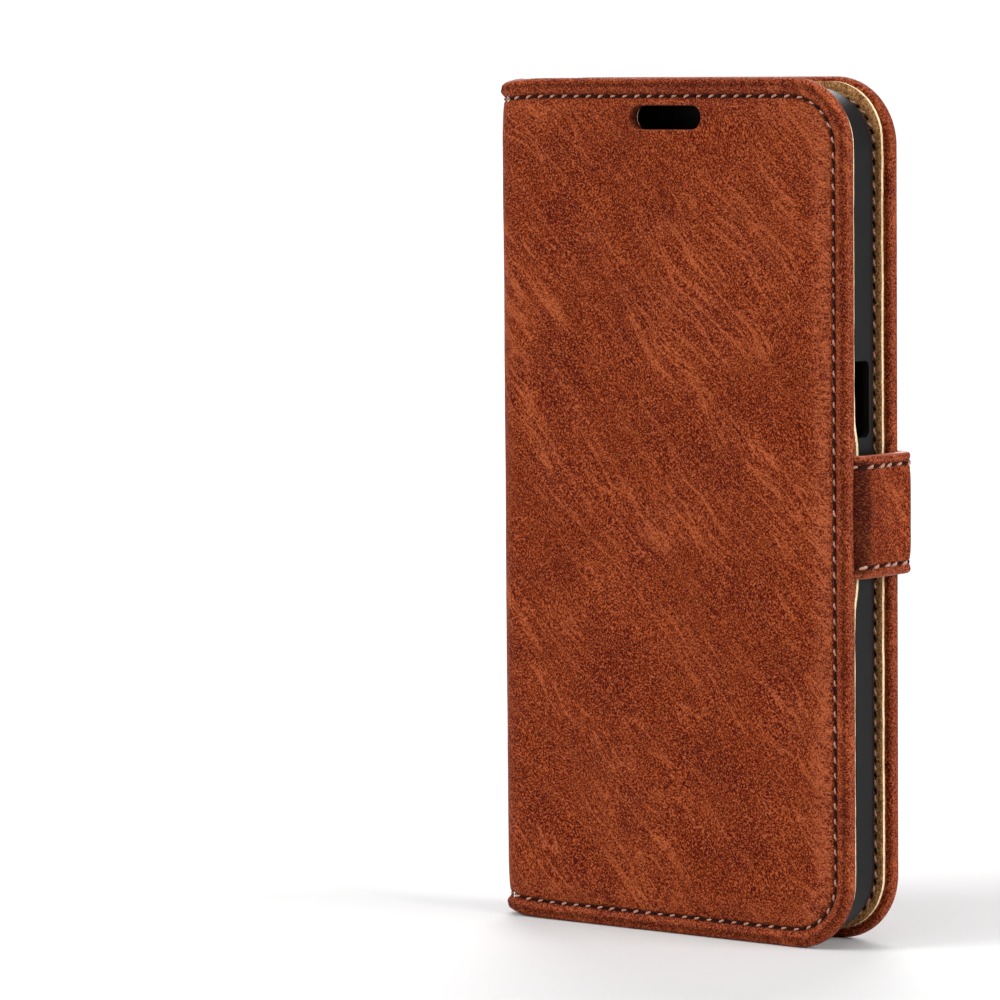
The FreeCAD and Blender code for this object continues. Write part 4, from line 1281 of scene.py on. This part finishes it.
@dataclass
class Seams:
    """Sews rows of stitches with one shared tree and one shared pair of templates."""
    stitch: Stitch = Stitch()
    slant: float = 0.28
    tree: Optional[SeamTree] = None
    shapes: dict = field(default_factory=dict)

    def row(self, name: str, places: np.ndarray, ups: np.ndarray, seed: int,
            pitch: float = 2.65 * MM, size: float = 0.72) -> bpy.types.Object:
        """Sew along a line.

        Args:
            name: the piece's name.
            places: the line's points.
            ups: the leather's outward direction at each point.
            seed: for the small unevenness of the stitches.
            pitch: the distance from stitch to stitch.
            size: the stitches' size, where 1 is the strap's coarse thread.

        Returns:
            The stitches as one plain mesh.
        """
        if self.tree is None:
            self.tree = SeamTree()
            self.shapes = {"Thread": self.stitch.thread(), "Pit": self.stitch.hole()}
        data = bpy.data.meshes.new(name)
        edges = [(index, index + 1) for index in range(len(places) - 1)]
        data.from_pydata([tuple(place) for place in places], edges, [])
        layer = data.attributes.new("up", "FLOAT_VECTOR", "POINT")
        layer.data.foreach_set("vector", np.asarray(ups, np.float32).ravel())
        piece = bpy.data.objects.new(name, data)
        bpy.context.scene.collection.objects.link(piece)
        modifier = piece.modifiers.new("seam", "NODES")
        modifier.node_group = self.tree.tree
        values = {"Thread": self.shapes["Thread"], "Pit": self.shapes["Pit"], "Pitch": pitch,
                  "Slant": self.slant, "Size": size,
                  "Thread Material": MATERIALS["sewing_thread"], "Pit Material": MATERIALS["needle_hole"],
                  "Seed": seed}
        for item in self.tree.tree.interface.items_tree:
            if item.in_out == "INPUT" and item.name in values:
                modifier[item.identifier] = values[item.name]
        return finished(piece)


# ---------------------------------------------------------------- the case


@dataclass
class Covers:
    """Both covers with the spine: leather, seams and linings."""
    case: CaseFrame
    seams: Seams
    crease_reach: float = 3.6 * MM
    lap: float = 0.10 * MM
    seam_step: float = 0.5 * MM
    window_size: tuple = mm(26.7, 17.3)
    window_shift: float = 4.15 * MM
    window_below_top: float = 18.0 * MM
    window_rounds: tuple = mm(3.7, 5.7)
    slot_width: float = 15.6 * MM
    slot_half_height: float = 2.2 * MM
    slot_below_top: float = 6.9 * MM
    slot_roundness: float = 0.9995
    front_lining_back: float = 0.35 * MM
    front: CoverWrap = field(init=False)
    back: CoverWrap = field(init=False)

    def __post_init__(self) -> None:
        """Develop the two covers."""
        self.front = CoverWrap(self.case, Side.FRONT)
        self.back = CoverWrap(self.case, Side.BACK)

    def crease(self, wrap: CoverWrap) -> tuple[Vector, Vector]:
        """The places between which a cover's sheet turns into the spine's."""
        start = Vector((self.case.spine_x + self.crease_reach, wrap.face_y, self.case.height / 2))
        end = Vector((self.case.spine_x, wrap.face_y - wrap.sign * self.crease_reach, self.case.height / 2))
        return start, end

    def bend(self, piece: bpy.types.Object, wrap: CoverWrap) -> None:
        """Bake a sheet's placement into its mesh; the crease's two places are found but not used."""
        start, end = self.crease(wrap)
        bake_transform(piece)

    def window(self) -> Hole:
        """The camera window, on the back cover's sheet."""
        low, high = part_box("phone_tray")
        size, lap = self.window_size, self.lap
        centre = self.back.across((low.x + high.x) / 2 - self.window_shift)
        top = self.case.height - self.window_below_top
        LOG.info("camera window %.1f x %.1f mm", size[0] / MM, size[1] / MM)
        return Hole(centre - size[0] / 2 + lap, centre + size[0] / 2 - lap, top - size[1] + lap, top - lap,
                    *self.window_rounds)

    def slot(self) -> Hole:
        """The earpiece slot, on the front cover's sheet."""
        low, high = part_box("phone_tray")
        centre = self.front.across((low.x + high.x) / 2)
        middle = self.case.height - self.slot_below_top
        half, tall = self.slot_width / 2 - self.lap, self.slot_half_height - self.lap
        radius = tall * self.slot_roundness
        return Hole(centre - half, centre + half, middle - tall, middle + tall, radius, radius)

    def build(self) -> None:
        """Make both covers."""
        window, slot = self.window(), self.slot()
        back = CoverLeather("back_leather_skin", self.back, window,
                            rim_round=0.8 * MM, rim_reach=1.4 * MM).build()
        front = CoverLeather("front_leather_skin", self.front, slot,
                             rim_round=0.28 * MM, rim_reach=0.55 * MM).build()
        for piece, wrap, nodes in ((back, self.back, ("back_leather", "spine_leather")),
                                   (front, self.front, ("front_leather",))):
            self.bend(piece, wrap)
            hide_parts(*nodes)
            LOG.info("%s: %d faces", piece.name, len(piece.data.polygons))
        self.sew()
        self.line(window, slot)

    def sew(self) -> None:
        """The seam along each sheet's three edges."""
        bead = Bead()
        plan = ((self.back, "back_stitches", ("back_seam_thread", "spine_seam_thread"), 3),
                (self.front, "front_stitches", ("front_seam_thread",), 7))
        for wrap, name, nodes, seed in plan:
            outline = Outline(wrap.width, wrap.height, wrap.corner)
            codes, _ = outline.columns(self.seam_step, bead.seam)
            u, v = outline.loop(codes, bead.seam)
            height = -(bead.groove * 0.80 + bead.pinch) + self.seams.stitch.rise * 0.95
            piece = self.seams.row(name, wrap.place(u, v, height), wrap.outward(u), seed)
            self.bend(piece, wrap)
            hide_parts(*nodes)
            LOG.info("%s: %d faces", name, len(piece.data.polygons))

    def sew_inside(self, lining: Lining, name: str, seed: int) -> None:
        """The same seam where it comes through on a lining."""
        wrap, seam = lining.wrap, Bead().seam
        outline = Outline(wrap.width, wrap.height, wrap.corner)
        codes, _ = outline.columns(self.seam_step, seam)
        u, v = outline.loop(codes, seam)
        depth = -lining.depth_of(u) - lining.lift(u, v) - self.seams.stitch.rise * 0.45
        piece = self.seams.row(name, wrap.place(u, v, depth), -wrap.outward(u), seed)
        self.bend(piece, wrap)
        LOG.info("%s: %d faces", name, len(piece.data.polygons))

    def line(self, window: Hole, slot: Hole) -> None:
        """The suede inside both covers and the spine."""
        strap_low, strap_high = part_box("strap_tab")
        back_inset = self.case.free_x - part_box("back_lining")[1].x
        front_inset = self.case.free_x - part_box("front_lining")[1].x + self.front_lining_back
        back = Lining("back_suede_lining", self.back, window, back_inset, rise=0.9 * MM)
        front = Lining("front_suede_lining", self.front, slot, front_inset, flare=1.15 * MM,
                       flare_low=strap_low.z, flare_high=strap_high.z)
        for lining, nodes in ((back, ("back_lining", "spine_lining")), (front, ("front_lining",))):
            piece = lining.build()
            self.bend(piece, lining.wrap)
            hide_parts(*nodes)
            lining.wrap.width - lining.inset
            lining.wrap.height - 2 * lining.inset
            self.sew_inside(lining, nodes[0].replace("lining", "inner_stitches"), 41)
            LOG.info("%s: %d faces", piece.name, len(piece.data.polygons))


@dataclass
class SpineCard:
    """The card strip that stiffens the spine between its creases, bent with the leather."""
    case: CaseFrame
    steps: int = 24
    levels: int = 30

    def build(self) -> None:
        """Make the strip."""
        low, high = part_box("spine_stiffener")
        wraps = {side: CoverWrap(self.case, side) for side in Side}
        across = np.linspace(low.y - self.case.middle_y, high.y - self.case.middle_y, self.steps + 1)
        outer, inner = self.case.spine_x - low.x, self.case.spine_x - high.x
        rings = []
        for height in np.linspace(low.z, high.z, self.levels + 1):
            ring = []
            for depth, places in ((outer, across), (inner, across[::-1])):
                for place in places:
                    wrap = wraps[Side.BACK if place > 0 else Side.FRONT]
                    ring.append(tuple(wrap.place(abs(place), height, depth)))
            rings.append(ring)
        count = len(rings[0])
        faces = [(row * count + side, row * count + (side + 1) % count,
                  (row + 1) * count + (side + 1) % count, (row + 1) * count + side)
                 for row in range(len(rings) - 1) for side in range(count)]
        for row in (0, len(rings) - 1):
            for side in range(self.steps):
                back = count - 1 - side
                faces.append((row * count + side, row * count + side + 1, row * count + back - 1,
                              row * count + back))
        data = bpy.data.meshes.new("spine_card_strip")
        data.from_pydata([point for ring in rings for point in ring], [], faces)
        data.materials.append(MATERIALS["spine_card"])
        piece = bpy.data.objects.new("spine_card_strip", data)
        bpy.context.scene.collection.objects.link(piece)
        recalculated(piece)
        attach(piece, "spine")
        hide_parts("spine_stiffener")
        LOG.info("%s: %d faces", piece.name, len(data.polygons))


@dataclass
class FlatWrap:
    """A flat sheet that lies on the front lining: u towards the free edge, w into the case."""
    origin: Vector

    def place(self, u: np.ndarray, v: np.ndarray, w: np.ndarray) -> np.ndarray:
        """Turn sheet places into places in the case's frame."""
        u, v, w = np.broadcast_arrays(np.asarray(u, float), np.asarray(v, float), np.asarray(w, float))
        return np.stack([self.origin.x + u, self.origin.y + w, self.origin.z + v], axis=-1)

    def sheet_place(self, u: np.ndarray, v: np.ndarray, w: np.ndarray) -> np.ndarray:
        """Places for patterns."""
        return np.stack([u + 0.5, v, w], axis=-1)


@dataclass
class Pockets:
    """The pocket panels sewn to the front lining, each open along its top."""
    seams: Seams
    names: tuple = ("money_pocket", "card_pocket_rear", "card_pocket_middle", "card_pocket_front")
    corner: float = 9.0 * MM
    hem: float = 2.6 * MM
    dip: float = 2.2 * MM
    dip_reach: float = 11.0 * MM
    lattice: float = 1.6 * MM

    def build(self) -> None:
        """Make each panel and its hem's stitches."""
        for number, node in enumerate(self.names):
            self.panel(node, number)

    def top(self, u: np.ndarray, width: float, height: float, number: int) -> np.ndarray:
        """The panel's upper edge: card pockets dip for a thumb, the money pocket runs straight."""
        dip = self.dip if number else 0.0
        return height - dip * bell(np.asarray(u) - width / 2, self.dip_reach / 2)

    def panel(self, node: str, number: int) -> None:
        """One pocket panel."""
        low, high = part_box(node)
        width, height, thick = high.x - low.x, high.z - low.z, high.y - low.y
        wrap = FlatWrap(Vector((low.x, low.y, low.z)))
        step, corner = self.lattice, self.corner
        across = np.linspace(0.0, width, 45)
        angles = np.radians(np.linspace(-90.0, 0.0, 9))
        foot = np.arange(0.0, width - corner, step)
        border = [np.stack([foot, np.zeros_like(foot)], 1),
                  np.stack([width - corner + corner * np.cos(angles), corner + corner * np.sin(angles)], 1)]
        rise = np.arange(corner + step, height - step / 2, step)
        border.append(np.stack([np.full_like(rise, width), rise], 1))
        border.append(np.stack([across[::-1], self.top(across[::-1], width, height, number)], 1))
        border.append(np.stack([np.zeros_like(rise), rise[::-1]], 1))
        left_foot = np.arange(corner, step / 2, -step)
        border.append(np.stack([np.zeros_like(left_foot), left_foot], 1))
        border = np.concatenate(border)

        def inside(u: np.ndarray, v: np.ndarray) -> np.ndarray:
            """How far a place lies inside the panel."""
            edge = np.minimum(np.minimum(u, width - u), np.minimum(v, self.top(u, width, height, number) - v))
            near = (width - u < corner) & (v < corner)
            return np.where(near, corner - np.hypot(corner - (width - u), corner - v), edge)

        columns, rows_v = np.arange(step, width, step), np.arange(step, height, step)
        found, faces = filled(border, [], columns, rows_v, inside, 0.5 * MM)
        u, v = found[:, 0], found[:, 1]
        below_top = self.top(u, width, height, number) - v
        hem = bell(below_top - self.hem, 0.9 * MM)
        rolled = 0.05 * MM * ramp(self.hem - below_top, 0.0, 1.2 * MM)
        upper = np.full_like(u, thick) - 0.08 * MM * hem + rolled
        upper = upper + ripple(u, v, 70.0, 30.0 + number) * 0.04 * MM
        piece = closed_sheet(f"{node}_panel", wrap, found, faces, np.full_like(u, 0.01 * MM), upper,
                             ("tan_suede", "cream_cut_edge"))
        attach(piece, "front_cover")
        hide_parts(node)
        line = np.linspace(1.5 * MM, width - 1.5 * MM, 60)
        places = wrap.place(line, self.top(line, width, height, number) - self.hem, thick + 0.01 * MM)
        ups = np.tile([0.0, 1.0, 0.0], (len(line), 1))
        stitches = self.seams.row(f"{node}_stitches", places, ups, 11 + number)
        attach(stitches, "front_cover")
        LOG.info("%s: %d faces", piece.name, len(piece.data.polygons))


@dataclass
class Strap:
    """The closing strap: one leather band from the front cover's free edge to the back cover."""
    seams: Seams
    wrap: StrapWrap
    half: float = 0.8 * MM
    seam: float = 2.0 * MM
    crown: float = 0.10 * MM
    free_start: float = 7.2 * MM
    pitch: float = 3.2 * MM
    thread_size: float = 1.0
    # Painted shadow where the strap comes out from under the front cover.
    root_shade: float = 0.72
    tab_share: float = 0.36
    lattice: float = 1.2 * MM
    column_step: float = 0.442 * MM
    roll_steps: int = 8
    painted_rows: int = 6
    inner_insets: tuple = mm(2.6, 1.8, 1.2)
    seam_insets: tuple = mm(1.0, 1.3, 1.55, 1.75, 1.88, 2.0, 2.12, 2.25, 2.42, 2.65)

    def thin(self, u: np.ndarray) -> np.ndarray:
        """The strap's share of its full thickness: less in the tab that is glued into the cover."""
        rise = ramp(u, self.free_start, self.free_start + 2.5 * MM)
        return self.tab_share + (1.0 - self.tab_share) * rise

    def relief(self, depth: np.ndarray, along: np.ndarray) -> np.ndarray:
        """How far the outer face stands out of the middle surface, beyond its half thickness."""
        pull = 0.5 + 0.5 * wave(along, self.pitch)
        groove = -0.30 * MM * (0.75 + 0.25 * pull) * bell(depth - self.seam, 0.38 * MM)
        pinch = -0.14 * MM * bell(depth - self.seam, 1.0 * MM)
        rim = 0.06 * MM * bell(depth - 0.95 * MM, 0.5 * MM)
        return groove + pinch + rim + self.crown * ramp(depth, self.seam, self.seam + 4.0 * MM)

    def shade(self, depth: np.ndarray, u: np.ndarray) -> np.ndarray:
        """Painted shade in the seam's groove, and painted shadow where the strap comes out from under the
        cover.
        """
        root_end = self.wrap.marks[1]
        root = self.root_shade * (1.0 - ramp(u, root_end - 1.0 * MM, root_end + 1.6 * MM))
        return np.maximum(0.85 * bell(depth - self.seam, 0.3 * MM), root)

    def whole(self) -> bpy.types.Object:
        """The strap in one piece, as a closed band."""
        wrap, half = self.wrap, self.half
        outline = Outline(wrap.width, wrap.height, wrap.corner)
        codes, along = outline.columns(self.column_step, self.seam)
        count, parts, rows = len(codes), Parts(wrap), []
        for inset in self.inner_insets:
            u, v = outline.loop(codes, inset)
            rows.append(parts.points(u, v, -half * self.thin(u)))
        for step in range(self.roll_steps + 1):
            angle = math.pi * (step / self.roll_steps - 0.5)
            inset = half * (1.0 - math.cos(angle)) * 0.9
            u, v = outline.loop(codes, inset)
            lift = self.relief(np.full(count, inset), along) * ramp(angle, 0.0, math.pi / 2)
            # Paler tone along the rounded edge: rubbed leather and painted sheen.
            rows.append(parts.points(u, v, (half * math.sin(angle) + lift) * self.thin(u),
                                     worn=0.75 * bell(np.full(count, inset - 0.1 * MM), 0.5 * MM)))
        for inset in self.seam_insets:
            u, v = outline.loop(codes, inset)
            depth = np.full(count, inset)
            lift = half + self.relief(depth, along)
            # Painted shade in the groove and at the root; paler tone by the edge, rubbed leather and painted
            # sheen.
            rows.append(parts.points(u, v, lift * self.thin(u), seam=self.shade(depth, u),
                                     worn=0.45 * bell(depth - 0.9 * MM, 0.35 * MM)))
        for number, (here, after) in enumerate(zip(rows, rows[1:])):
            edge = len(self.inner_insets) <= number < len(self.inner_insets) + self.painted_rows
            parts.strip(here, after, count, kind=1 if edge else 0)
        for inset, sign in ((self.seam_insets[-1], 1.0), (self.inner_insets[0], -1.0)):
            self.face(parts, outline, codes, along, inset, sign)
        piece = parts.mesh("strap_whole", ("cognac_leather", "painted_edge"))
        work = bmesh.new()
        work.from_mesh(piece.data)
        bmesh.ops.holes_fill(work, edges=[edge for edge in work.edges if edge.is_boundary], sides=0)
        bmesh.ops.recalc_face_normals(work, faces=work.faces)
        work.to_mesh(piece.data)
        work.free()
        return piece

    def face(self, parts: Parts, outline: Outline, codes: np.ndarray, along: np.ndarray, inset: float,
             sign: float) -> None:
        """The flat of the strap inside its seam, on its outer (1) or inner (-1) side."""
        step = self.lattice
        border = outline.closed(codes, inset, step)
        tab, bend_one, side, bend_two, _ = self.wrap.marks
        near = 0.8 * MM
        bends = np.concatenate([np.arange(tab - near, bend_one + near, 0.3 * MM),
                                np.arange(side - near, bend_two + near, 0.3 * MM)])
        columns = np.arange(step, self.wrap.width - inset, step)
        gap = np.abs(columns[:, None] - bends[None, :]).min(axis=1)
        columns = np.sort(np.concatenate([columns[gap > 0.5 * MM], bends]))
        rows_v = np.arange(inset, outline.height - inset, step)

        def inside(places_u: np.ndarray, places_v: np.ndarray) -> np.ndarray:
            """How far a place lies inside the face."""
            return np.minimum(outline.from_edge(places_u, places_v) - inset, places_u)

        found, faces = filled(border, [], columns, rows_v, inside, 0.2 * MM)
        u, v = found[:, 0], found[:, 1]
        depth = outline.from_edge(u, v)
        if sign > 0:
            ring_u, ring_v = outline.loop(codes, inset)
            reach = np.zeros_like(u)
            for index in np.nonzero(depth < inset + 1e-6)[0]:
                reach[index] = along[np.argmin((ring_u - u[index]) ** 2 + (ring_v - v[index]) ** 2)]
            body = ripple(u, v, 190.0, 13.0) * 0.03 * MM * ramp(depth, inset, inset + 2.0 * MM)
            w = (self.half + self.relief(depth, reach) + body) * self.thin(u)
            first = parts.points(u, v, w, seam=self.shade(depth, u))
        else:
            first = parts.points(u, v, -self.half * self.thin(u))
        parts.triangles(first, faces, flip=sign < 0)

    def build(self) -> None:
        """Make the strap, split half-way along its side, and its two rows of stitches."""
        whole = self.whole()
        pivots = {joint["name"]: Vector(joint["pos_m"]) for joint in frame["joints"]}
        root, tip = pivots["strap_root_crease"], pivots["strap_tip_crease"]
        middle = (root + tip) / 2
        up = Vector((0.0, 1.0, 0.0))
        reach = 2.2 * MM
        root_line = (root + Vector((-reach, 0.0, 0.0)), root + Vector((0.0, reach, 0.0)))
        tip_line = (tip + Vector((0.0, -reach, 0.0)), tip + Vector((-reach, 0.0, 0.0)))
        lower = cut_at(whole, "strap_root_leather", middle, up)
        upper = cut_at(whole, "strap_end_leather", middle, -up)
        bpy.data.objects.remove(whole)
        rows = self.stitches(middle.y)
        plan = ((lower, "front_cover", "strap_side", root_line,
                 ("strap_tab", "strap_side_leather", "strap_side_lining"), "leather"),
                (upper, "strap_side", "strap_tip", tip_line,
                 ("strap_tip_leather", "strap_tip_lining"), "leather"),
                (rows[0], "front_cover", "strap_side", root_line, ("strap_side_thread",), "thread"),
                (rows[1], "strap_side", "strap_tip", tip_line, ("strap_tip_thread",), "thread"))
        for piece, first, second, (start, end), nodes, slot in plan:
            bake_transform(piece)
            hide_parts(*nodes)
            LOG.info("%s: %d faces", piece.name, len(piece.data.polygons))

    def stitches(self, split_y: float) -> tuple[bpy.types.Object, bpy.types.Object]:
        """Stitches along the strap's two long edges and round its tip, in two pieces."""
        wrap = self.wrap
        outline = Outline(wrap.width, wrap.height, wrap.corner)
        codes, _ = outline.columns(0.4 * MM, self.seam)
        u, v = outline.loop(codes, self.seam)
        split = wrap.marks[1] + split_y - (wrap.start[1] + wrap.turn)
        height = self.half - 0.44 * MM * 0.9 + self.seams.stitch.rise * 0.85
        places, ups = wrap.place(u, v, height), wrap.outward(u)
        end = u >= split
        upper = self.seams.row("strap_end_stitches", places[end], ups[end], 23,
                                self.pitch, self.thread_size)
        pieces = []
        for number, chosen in enumerate((v < wrap.height / 2, v > wrap.height / 2)):
            part = chosen & (u < split) & (u > self.free_start + 1.0 * MM)
            pieces.append(self.seams.row(f"strap_root_row_{number}", places[part], ups[part], 29 + number,
                                         self.pitch, self.thread_size))
        lower = joined("strap_root_stitches", pieces)
        return lower, upper


def joined(name: str, pieces: Iterable[bpy.types.Object]) -> bpy.types.Object:
    """Several plain meshes of the same materials as one."""
    pieces = list(pieces)
    work = bmesh.new()
    for piece in pieces:
        work.from_mesh(piece.data)
    data = bpy.data.meshes.new(name)
    work.to_mesh(data)
    work.free()
    for material in pieces[0].data.materials:
        data.materials.append(material)
    made = bpy.data.objects.new(name, data)
    bpy.context.scene.collection.objects.link(made)
    for piece in pieces:
        bpy.data.objects.remove(piece)
    return made


@dataclass
class HardParts:
    """The pieces whose shape in the frame is right, each with its own finish."""
    finish: dict = field(default_factory=lambda: {
        "phone_tray": "black_tray", "tray_adhesive": "mounting_tape", "back_padding": "pale_foam",
        "front_padding": "pale_foam", "back_board": "grey_board", "front_board": "grey_board",
        "keeper_plate": "plated_steel", "strap_magnet": "nickel_magnet"})

    def dress(self) -> None:
        """Give each node its finish."""
        for node, material in self.finish.items():
            piece = frame["nodes"][node]
            piece.data.materials.clear()
            piece.data.materials.append(MATERIALS[material])
            LOG.info("%s: %s", node, material)


# ---------------------------------------------------------------- studio


@dataclass(frozen=True)
class Studio:
    """A pale floor, soft lights and the camera."""
    eye: tuple = (0.5661, -0.78186, 0.15586)
    aim: tuple = (-0.61354, 0.78536, -0.08231)
    roll_degrees: float = -0.475
    lens: float = 198.25
    sensor: float = 36.0
    ambient: float = 0.26
    seen: float = 1.05
    floor_reach: float = 6.0
    lamps: tuple = (("key_light", (-0.50, -0.75, 0.60), 2.6, 32.0),
                    ("side_light", (1.0, 0.10, 0.45), 2.9, 36.0),
                    ("top_light", (0.15, -0.30, 1.0), 1.2, 50.0),
                    ("rear_light", (-0.55, 0.80, 0.55), 2.2, 40.0))

    def camera(self) -> None:
        """Stand the camera in front of the free edge, level with the case's top."""
        forward = Vector(self.aim).normalized()
        right = forward.cross(Vector((0.0, 0.0, 1.0))).normalized()
        upward = right.cross(forward)
        roll = math.radians(self.roll_degrees)
        right, upward = (right * math.cos(roll) + upward * math.sin(roll),
                         upward * math.cos(roll) - right * math.sin(roll))
        data = bpy.data.cameras.new("camera")
        data.lens, data.sensor_width = self.lens, self.sensor
        data.clip_start, data.clip_end = 0.05, 20.0
        camera = bpy.data.objects.new("camera", data)
        turn = Matrix((right, upward, -forward)).transposed().to_4x4()
        camera.matrix_world = Matrix.Translation(Vector(self.eye)) @ turn
        bpy.context.scene.collection.objects.link(camera)
        bpy.context.scene.camera = camera

    def light(self, name: str, source: Sequence[float], strength: float, spread_degrees: float) -> None:
        """A wide soft light, as far away as a studio's walls.

        Args:
            name: the light's name.
            source: the direction that it comes from.
            strength: its brightness on a surface that faces it.
            spread_degrees: how wide it is, seen from the case.
        """
        data = bpy.data.lights.new(name, "SUN")
        data.energy, data.angle = strength, math.radians(spread_degrees)
        lamp = bpy.data.objects.new(name, data)
        lamp.rotation_euler = (-Vector(source)).to_track_quat("-Z", "Y").to_euler()
        bpy.context.scene.collection.objects.link(lamp)

    def world(self) -> None:
        """White all round as it is seen, and dimmer as it lights the case."""
        world = bpy.data.worlds.new("studio")
        world.use_nodes = True
        nodes, links = world.node_tree.nodes, world.node_tree.links
        background = nodes["Background"]
        background.inputs["Color"].default_value = rgb(1.0, 1.0, 1.0)
        path = nodes.new("ShaderNodeLightPath")
        level = nodes.new("ShaderNodeMapRange")
        level.inputs["To Min"].default_value = self.ambient
        level.inputs["To Max"].default_value = self.seen
        links.new(path.outputs["Is Camera Ray"], level.inputs["Value"])
        links.new(level.outputs["Result"], background.inputs["Strength"])
        bpy.context.scene.world = world
        bpy.context.scene.view_settings.view_transform = "Standard"

    def build(self) -> None:
        """Set up the studio."""
        data = bpy.data.meshes.new("studio_floor")
        reach = self.floor_reach
        corners = [(-reach, -reach, 0.0), (reach, -reach, 0.0), (reach, reach, 0.0), (-reach, reach, 0.0)]
        data.from_pydata(corners, [], [(0, 1, 2, 3)])
        data.materials.append(MATERIALS["pale_floor"])
        floor = bpy.data.objects.new("studio_floor", data)
        bpy.context.scene.collection.objects.link(floor)
        self.world()
        for name, source, strength, spread_degrees in self.lamps:
            self.light(name, source, strength, spread_degrees)
        self.camera()


def main() -> None:
    """Build the case's looks, then the studio."""
    logging.basicConfig(level=logging.INFO, format="%(name)s: %(message)s")
    finishes()
    case = CaseFrame.read()
    seams = Seams()
    Covers(case, seams).build()
    SpineCard(case).build()
    Pockets(seams).build()
    Strap(seams, StrapWrap.read()).build()
    HardParts().dress()
    Studio().build()


if __name__ == "__main__":
    main()
